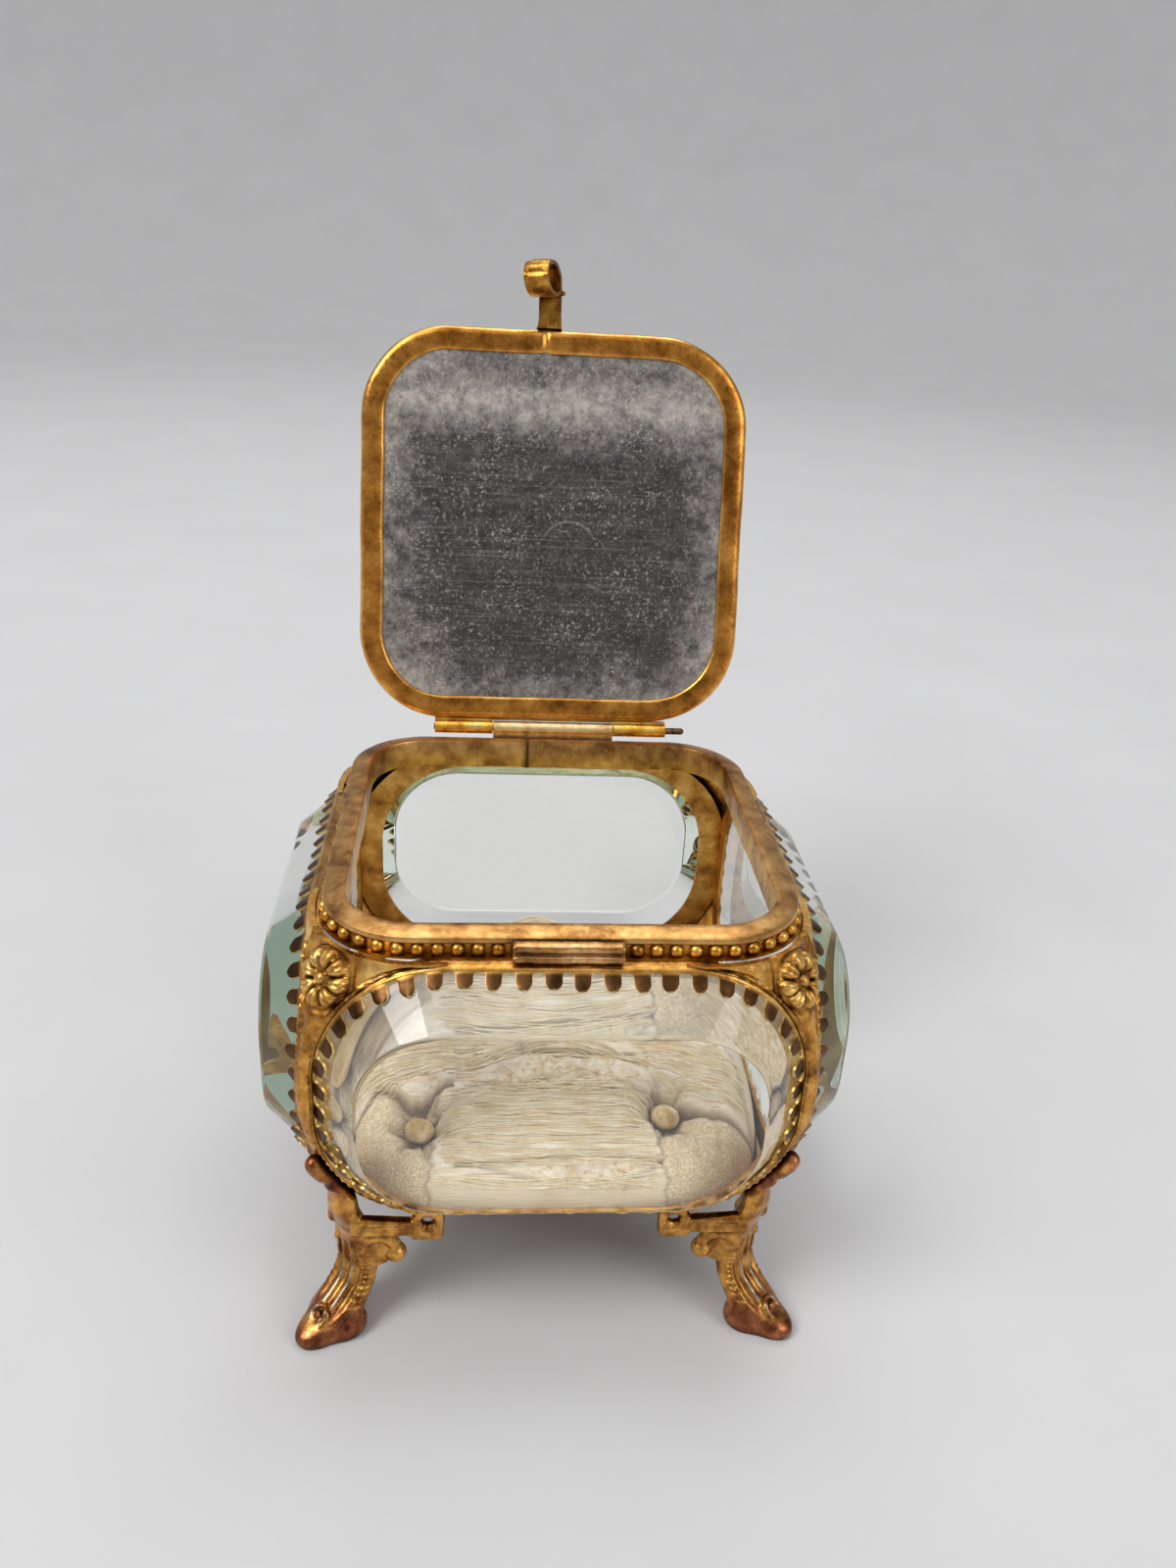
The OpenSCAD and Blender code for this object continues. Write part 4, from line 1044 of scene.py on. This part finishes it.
def make_clasp():
    thick, radius = 0.7, 3.1
    stem_z = LID_Z + 0.3 + thick / 2
    loop_y, loop_z = -BOX_HALF - 8.6, LID_Z + 0.3 + thick - radius
    path = [(-BOX_HALF - 0.4, stem_z + 2.3, -1, 0), (-BOX_HALF - 0.4, stem_z + 0.8, -1, 0),
            (-BOX_HALF - 0.62, stem_z + 0.2, -0.7, 0.7), (-BOX_HALF - 1.3, stem_z, 0, 1)]
    path += [(-BOX_HALF - 1.3 - 7.3 * i / 8, stem_z, 0, 1) for i in range(1, 9)]
    before_loop = len(path)
    steps, bend, reach = 72, 314, radius - thick / 2
    for i in range(1, steps + 1):
        a = radians(90 + bend * i / steps)
        path.append((loop_y + reach * cos(a), loop_z + reach * sin(a), cos(a), sin(a)))
    across = np.linspace(-1, 1, 9)
    outer, inner = [], []
    total = len(path)
    for i, (y, z, ny, nz) in enumerate(path):
        turn = max(0, i - before_loop) / (total - before_loop)
        ribs = 0.2 * max(0.0, cos(turn * 100)) if 0.12 < turn < 0.62 else 0.0
        width = 2.1 + 0.3 * min(1, turn * 3) + (0.3 * max(0, 4 - i) / 4)
        middle = -1.75 - 0.75 * min(1, turn * 2.5) + 1.3 * max(0, turn - 0.4)
        swivel = SWIVEL * min(1, max(0, i - 4) / 8)
        for w in across:
            roll = 0.1 * (1 - w * w)
            for layer, height in ((outer, thick / 2 + roll + ribs * (1 - w ** 6)), (inner, -thick / 2)):
                side, drop = w * width, z + nz * height - stem_z
                layer.append((middle + side * cos(swivel) + drop * sin(swivel), y + ny * height,
                              stem_z - side * sin(swivel) + drop * cos(swivel)))
    nib = ball(0.55, -BOX_HALF - 6.6, stem_z - 0.4, 0.5, 1.3, 8, 12)
    points, faces = joined([(outer + inner, double_sheet_faces(total, len(across))), nib])
    piece("thumb_piece", points, faces, "clasp", "clasp", 50, body="lid")


# Cushion: crowned, tufted at four buttons, with shattered silk over its middle
PAD_HALF = (card_high.x - card_low.x) / 2 / MM - 0.1
PAD_Z = CARD_TOP + 0.1
TUFTS = [(-22.0, -24.6), (18.8, -22.6), (-20.5, 23.5), (20.5, 23.5)]
FOLD_X = [-35.0, -33.0, -29.0, -26.0, -23.5, -21.0, -18.0, 17.0, 21.0, 25.5, 30.0, 35.0]
FOLD_Y = [-25.0, -22.8, -17.6, -18.6, -20.8, -20.4, -18.4, -19.0, -21.2, -23.0, -23.6, -23.8]


FOLD_FROM = 16.5
# Height, middle, sizes and turn of smooth bumps
SPLITS = [(1.7, 4.5, -33.6, 6.6, 1.2), (1.7, 2.0, -16.4, 8.6, 2.3, 2)]
STAINS = [(1, -9.0, -16.6, 1.4, 1.0), (1.1, 2.0, -13.4, 2.0, 0.9), (1.2, 5.0, -18.0, 1.5, 0.9),
          (1.1, 2.4, -33.6, 1.2, 0.6)]
SWELLS = [(6.4, -1.6, 24.5, 6.5, 4.6), (2.0, -1, 12, 12, 7), (1.4, 0, -23, 12, 6), (2.0, -26, -12, 6, 6, 25),
          (2.0, 25, -14, 7, 6, -25), (1.7, 4.5, -33.5, 6.5, 1.3), (1.9, 2, -16.4, 9, 2.5),
          (1.6, 0, -9.4, 13, 1.9)]
# Start, end, depth and half width of the furrows in the silk
FURROWS = [(-16.0, -32.3, 17.0, -31.9, 0.8, 0.35), (-14.0, -19.8, 16.0, -19.5, 0.7, 0.4),
           (-5.0, -11.9, 14.0, -12.5, 1.0, 0.7), (-14.0, -14.9, -5.0, -11.9, 0.6, 0.6),
           (-12.0, -32.8, -2.0, -34.9, 0.4, 0.4), (11.0, -34.9, 16.0, -32.9, 0.4, 0.4),
           (34.0, -23.0, 33.0, -6.0, 0.6, 0.8)]


def bumps(x, y, table):
    total = 0
    for height, middle_x, middle_y, size_along, size_across, *turn in table:
        angle = radians(turn[0]) if turn else 0.0
        dx, dy = x - middle_x, y - middle_y
        along, across = dx * cos(angle) + dy * sin(angle), dy * cos(angle) - dx * sin(angle)
        total = total + height * np.exp(-0.5 * ((along / size_along) ** 2 + (across / size_across) ** 2))
    return total


def line_away(x, y, x0, y0, x1, y1):
    """Distance to a line segment, and the share of its length passed."""
    dx, dy = x1 - x0, y1 - y0
    part = share(((x - x0) * dx + (y - y0) * dy) / (dx * dx + dy * dy))
    return np.hypot(x - x0 - part * dx, y - y0 - part * dy), part


def ripples(x, y, seed, count, shortest, longest, height):
    dice = random.Random(seed)
    total = np.zeros_like(x)
    for _ in range(count):
        size = dice.uniform(shortest, longest)
        turn = dice.uniform(-pi, pi)
        phase = dice.random() * 2 * pi
        total += np.sin(2 * pi * (x * sin(turn) + y * cos(turn)) / size + phase) * size
    return total * height / (count * longest)


def panel_sides(y):
    """Left and right edge of the shattered panel between the front buttons."""
    ragged = 0.28 * np.sin(y * 2.1) + 0.2 * np.sin(y * 4.7 + 1)
    return (np.interp(y, [-36, -29, -13], [-20.4, -20.0, -18.6]) + ragged,
            np.interp(y, [-36, -22, -13], [18.2, 16.2, 18.4]) - ragged)


def in_panel(x, y, blur):
    left, right = panel_sides(y)
    return below(np.maximum(left - x, x - right), blur)


def past_fold(x, y):
    """Distance behind the front edge of the silk that lies over the cushion's back."""
    return y - np.interp(x, FOLD_X, FOLD_Y)


def silk_area(x, y):
    """1 where the silk's threads are left, 0 where the cloth under it shows."""
    return share(np.maximum(in_panel(x, y, 0.3), below(-past_fold(x, y), 0.4)))


def bare_wool(x, y):
    """1 where the silk has split and the padding bulges out."""
    return share(1.6 * bumps(x, y, SPLITS) - 0.5)


def creases(x, y):
    """Depth of the folds from 0 to 1, for the relief and for the painted shade in the colour."""
    left, right = panel_sides(y)
    total = 0.45 * below(y + 19, 0.8) * (bell(x - left, 0.35) + bell(x - right, 0.35))
    total += 0.9 * bell(past_fold(x, y) + 0.45, 0.5) * (np.abs(x) > FOLD_FROM)
    for x0, y0, x1, y1, depth, wide in FURROWS:
        total += depth * bell(line_away(x, y, x0, y0, x1, y1)[0], wide)
    for away, pleats in around_tufts(x, y):
        total += 0.9 * bell(away, 3.0)
        total += 0.45 * share(pleats) ** 3 * bell(away - 3.6, 2.2)
    return share(total)


def around_tufts(x, y):
    """Distance from each button, and the waves of its pleats."""
    pleat_count = 7
    for cx, cy in TUFTS:
        turn = np.arctan2(y - cy, x - cx)
        yield np.hypot(x - cx, y - cy), np.cos(turn * pleat_count + cx)


def pad_surface(u, v):
    """Point on the cushion's upper side; u and v run from -1 to 1."""
    x = PAD_HALF * u * np.sqrt(1 - 0.15 * v * v) * (1 + 0.034 * (1 - v * v))
    y = PAD_HALF * v * np.sqrt(1 - 0.15 * u * u) * (1 + 0.020 * (1 - u * u))
    edge = (np.abs(u) ** 6 + np.abs(v) ** 6) ** (1 / 6)
    wall_h, wall_from, crown_h = 3.6, 0.87, 8.4
    wall = wall_h * np.sqrt(share(1 - (share(edge - wall_from) / 0.13) ** 2))
    inside = share(1 - edge ** 5)
    z = PAD_Z + wall + crown_h * share(1 - edge ** 2.6) ** 0.8
    z = z + inside * bumps(x, y, SWELLS)
    z = z + inside * 2.2 * bell(np.abs(u) - 0.86, 0.10) * climb(v + 0.95, 0.3)
    tuft_depth, tuft_half = 5.2, 3.1
    for away, pleats in around_tufts(x, y):
        dimple = tuft_depth * np.exp(-0.5 * (away / tuft_half) ** 2)
        z = z - inside * (dimple + 0.4 * pleats * bell(away - 4.6, 3.0))
    for side in (-1, 1):
        away, part = line_away(x, y, side * 19.6, 23.5, side * 19.2, 0)
        z = z - inside * (2.3 - 1.5 * part) * bell(away, 1.1 + 1.6 * part)
        away, part = line_away(x, y, side * 21.5, 23.5, side * 34.5, 24.5)
        z = z - inside * 1.4 * bell(away, 1.2)
    fold = past_fold(x, y)
    z = z + inside * (np.abs(x) > FOLD_FROM) * 1.5 * below(-fold, 0.3) * np.exp(-np.maximum(fold, 0) / 4.0)
    z = z + inside * 0.7 * in_panel(x, y, 0.25) * climb(-19 - y, 1.2)
    z = z - inside * 1.1 * creases(x, y)
    cover, wool = silk_area(x, y), bare_wool(x, y)
    wander = ripples(x, y, 21, 5, 14, 30, 1.4)
    threads = 0.15 * np.sin((y + wander) * 6.4) + 0.08 * np.sin((y + wander * 0.6) * 11.3 + 0.3 * x)
    z = z + inside * cover * (1 - wool) * threads * (0.55 + 0.45 * np.sin(y * 1.3 + wander))
    lumps = ripples(x, y, 33, 16, 1.2, 4.2, 2.4)
    z = z + inside * (np.maximum(1 - cover, wool) * lumps + ripples(x, y, 8, 9, 7, 15, 0.9))
    return x, y, z


def make_cushion():
    count, crowding = 340, 0.93
    steps = np.sin(np.linspace(-pi / 2, pi / 2, count) * crowding) / sin(pi / 2 * crowding)
    x, y, z = pad_surface(*np.meshgrid(steps, steps))
    top = np.stack([x, y, z], 2).reshape(-1, 3)
    faces = sheet_faces(count, count)
    grid = np.arange(count * count).reshape(count, count)
    ring = np.concatenate([grid[0], grid[1:, -1], grid[-1, -2::-1], grid[-2:0:-1, 0]]).tolist()
    inset = top[ring] * np.array([0.97, 0.97, 1])
    inset[:, 2] = PAD_Z
    points = np.concatenate([top, inset, [[0, 0, PAD_Z]]])
    base, n = len(top), len(ring)
    for i in range(n):
        j = (i + 1) % n
        faces.append((ring[i], ring[j], base + j, base + i))
        faces.append((base + i, base + j, base + n))
    x, y = x.reshape(-1), y.reshape(-1)
    # The crease layer paints shade into the silk's folds.
    layers = {"bare": 1 - silk_area(x, y), "wool": bare_wool(x, y), "rust": bumps(x, y, STAINS),
              "crease": 0.85 * creases(x, y)}
    layers = {label: np.concatenate([values, np.zeros(n + 1)]) for label, values in layers.items()}
    cushion = piece("silk_cushion", points, faces, "silk", "cushion", 180, layers)


def add_strands(name, routes, thickness):
    curve = bpy.data.curves.new(name, "CURVE")
    curve.dimensions = "3D"
    curve.bevel_depth = thickness * MM
    curve.bevel_resolution = 1
    curve.use_fill_caps = True
    for route in routes:
        spline = curve.splines.new("POLY")
        spline.points.add(len(route) - 1)
        flat = np.concatenate([to_frame(route), np.ones((len(route), 1))], 1)
        spline.points.foreach_set("co", flat.reshape(-1))
    curve.materials.append(M["thread"])
    obj = add_object(name, curve)
    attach(obj, "box")


def strand(dice, u0, v0, u1, v1, sag, lift):
    t = np.linspace(0, 1, 44)
    phase, size = dice.random() * 6.3, dice.uniform(1.5, 4)
    u = u0 + (u1 - u0) * t
    v = v0 + (v1 - v0) * t + sag * np.sin(pi * t) + 0.0035 * np.sin(size * 6.3 * t + phase)
    x, y, z = pad_surface(u, v)
    rise = lift * (0.5 + 0.5 * np.sin(t * size * 4 + phase)) + 0.05
    ends = np.minimum(t, 1 - t) < 0.02
    return np.stack([x, y, z + np.where(ends, -0.05, rise)], 1)


def make_threads():
    dice = random.Random(12)
    routes = []

    def jitter(most):
        return dice.uniform(-most, most)

    def lay(u0, v0, u1, v1, sag, lift):
        routes.append(strand(dice, u0, v0, u1, v1, sag, lift))

    # The panel between the front buttons, in bunches of three
    count = 72
    for i in range(count):
        y = -32.2 + 12.8 * (i // 3 * 3 + 1.6 * (i % 3) / 3) / (count - 1) + jitter(0.09)
        left, right = (float(x) for x in panel_sides(y))
        lay((left + 0.3 + dice.uniform(-0.3, 0.9)) / PAD_HALF, y / PAD_HALF,
            (right - 0.3 - dice.uniform(-0.3, 0.9)) / PAD_HALF, y / PAD_HALF + jitter(0.008),
            jitter(0.006), 0.2)
    # The swag at the left and the fan at the right
    count = 60
    for i in range(count):
        part = i / (count - 1)
        lay(-0.97 + 0.16 * dice.random(), -0.60 + 0.42 * part + jitter(0.01),
            -0.38 + 0.1 * dice.random(), -0.42 + 0.22 * part + jitter(0.01), 0.05 * (1 - part), 0.28)
        lay(0.97 - 0.1 * dice.random(), -0.64 + 0.46 * part + jitter(0.01),
            0.46 - 0.12 * part, -0.46 + 0.26 * part + jitter(0.01), -0.05 * (1 - part), 0.28)
    # The arch behind the upper split
    for i in range(34):
        rise = dice.uniform(0.10, 0.17)
        v = dice.uniform(-0.45, -0.40)
        lay(-0.42 + jitter(0.04), v, 0.44 + jitter(0.04), v + 0.02, rise, 0.5)
    # Loose ends before it
    for i in range(26):
        v = dice.uniform(-0.59, -0.51)
        lay(dice.uniform(-0.45, 0.1), v, dice.uniform(0.1, 0.48), v + dice.uniform(-0.06, 0.08),
            jitter(0.04), 0.7)
    # The front edge
    for i in range(12):
        v = -0.96 + 0.02 * dice.random()
        lay(-0.56 + jitter(0.03), v, 0.50 + dice.uniform(-0.05, 0.03), v + jitter(0.01), 0.0, 0.3)
    # The cushion's middle and back
    count = 64
    for i in range(count):
        v = -0.18 + 1.02 * i / (count - 1)
        lay(-0.6 + jitter(0.1), v, 0.6 + jitter(0.1), v + jitter(0.03), 0.02, 0.2)
    add_strands("silk_threads", routes, 0.075)


def make_buttons():
    dice = random.Random(3)
    parts = []
    button_r = 2.45
    for cx, cy in TUFTS:
        z = pad_surface(np.array([cx / PAD_HALF]), np.array([cy / PAD_HALF]))[2]
        points, faces = ball(0, 0, 0, button_r, 0.78, 26, 40)
        points = np.array(points)
        turn = np.arctan2(points[:, 1], points[:, 0])
        flat = np.hypot(points[:, 0], points[:, 1]) / button_r
        fold = 1 + 0.02 * np.sin(turn * 9 + dice.random() * 6) * flat
        fold = fold + 0.025 * np.sin(turn * 2 + dice.random() * 6)
        points *= fold[:, None]
        points[:, 2] -= 0.35 * bell(flat, 0.16) * (points[:, 2] > 0)
        lean = Matrix.Rotation(radians(-14 if cy < 0 else 12), 3, "X")
        points = points @ np.array(lean.transposed())
        points += np.array([cx, cy, z[0] + 2.1])
        parts.append((points, faces))
    points, faces = joined(parts)
    piece("cloth_buttons", points, faces, "button", "tuft_buttons", 180)


# Surroundings, floor and lamps
def make_world():
    """Soft light from all sides, a plain backdrop for the camera and a brighter side for reflections."""
    s = Shader("studio", "worlds", "World")
    soft = s.add("Background", Strength=0.64)
    backdrop = s.add("Background", Color=(0.86, 0.86, 0.87, 1))
    lean = s.add("VectorMath", {"operation": "DOT_PRODUCT"})
    s.pair(lean, s.add("TexCoord").outputs["Generated"], (-0.60, -0.20, 0.77))
    sky = s.ramp(lean.outputs["Value"], [(0.25, 0.12), (0.62, 0.45), (0.93, 1.0)])
    mirrored = s.add("Background", Color=sky, Strength=1.5)
    path = s.add("LightPath")
    seen = s.math("MAXIMUM", path.outputs["Is Camera Ray"], path.outputs["Is Transmission Ray"])
    light = s.mix_surfaces(seen, soft.outputs[0], backdrop.outputs[0])
    light = s.mix_surfaces(path.outputs["Is Glossy Ray"], light, mirrored.outputs[0])
    bpy.context.scene.world = s.finish(light)


def make_floor():
    """A round floor that bends up into a wall all round; its sizes are in metres."""
    s = Shader("floor")
    colour = s.ramp(s.noise(60, 3, 0.5), [(0.3, "#d4d4d5"), (0.7, "#d8d8d9")])
    flat, bend, top, around = 1.3, 0.9, 2.6, 96
    profile = [(0.02, 0.0), (0.3, 0.0), (flat, 0.0)]
    profile += [(flat + bend * sin(radians(a)), bend - bend * cos(radians(a))) for a in range(5, 91, 5)]
    profile.append((flat + bend, top))
    points = [(r * cos(circle(k, around)), r * sin(circle(k, around)), z)
              for r, z in profile for k in range(around)]
    faces = sheet_faces(len(profile), around, wrap_columns=True) + [tuple(range(around))[::-1]]
    mesh = new_mesh("floor", points, faces)
    mesh.materials.append(s.coat(Base_Color=colour, Roughness=0.9, Specular_IOR_Level=0.2))
    mesh.shade_smooth()
    add_object("floor", mesh)


def make_lamps():
    """Round lamps, each with its place and size in metres and its power in watts."""
    aim_at = Vector((0, 0, 0.05))
    for name, place, size, power in (("key", (-0.9, -0.55, 1.2), 0.8, 11.8),
                                     ("fill", (1.0, -0.8, 0.8), 0.9, 5.0),
                                     ("top", (0.1, 0.6, 1.4), 1.0, 6.2)):
        data = bpy.data.lights.new(name, "AREA")
        data.shape = "DISK"
        data.size = size
        data.energy = power
        lamp = add_object(name, data)
        lamp.location = place
        lamp.rotation_mode = "QUATERNION"
        lamp.rotation_quaternion = (aim_at - Vector(place)).to_track_quat("-Z", "Y")


make_world()
make_floor()
make_lamps()
bpy.context.scene.view_settings.view_transform = "Standard"

make_rim()
make_band()
make_catch()
for quarter in range(4):
    make_bezel(quarter)
    make_side_glass(quarter)
for index in range(4):
    make_corner(index)
make_feet()
make_lid()
make_clasp()
make_cushion()
make_threads()
make_buttons()

for node, key, edge in (("base_pan", "pan", 0), ("cushion_card", "card", 0.15),
                        ("hinge_body_leaf", "pale", 0.08), ("hinge_lid_leaf", "bright", 0.08),
                        ("hinge_pin", "pin", 0.1), ("lid_backing", "silver", 0)):
    dress(node, key, edge)
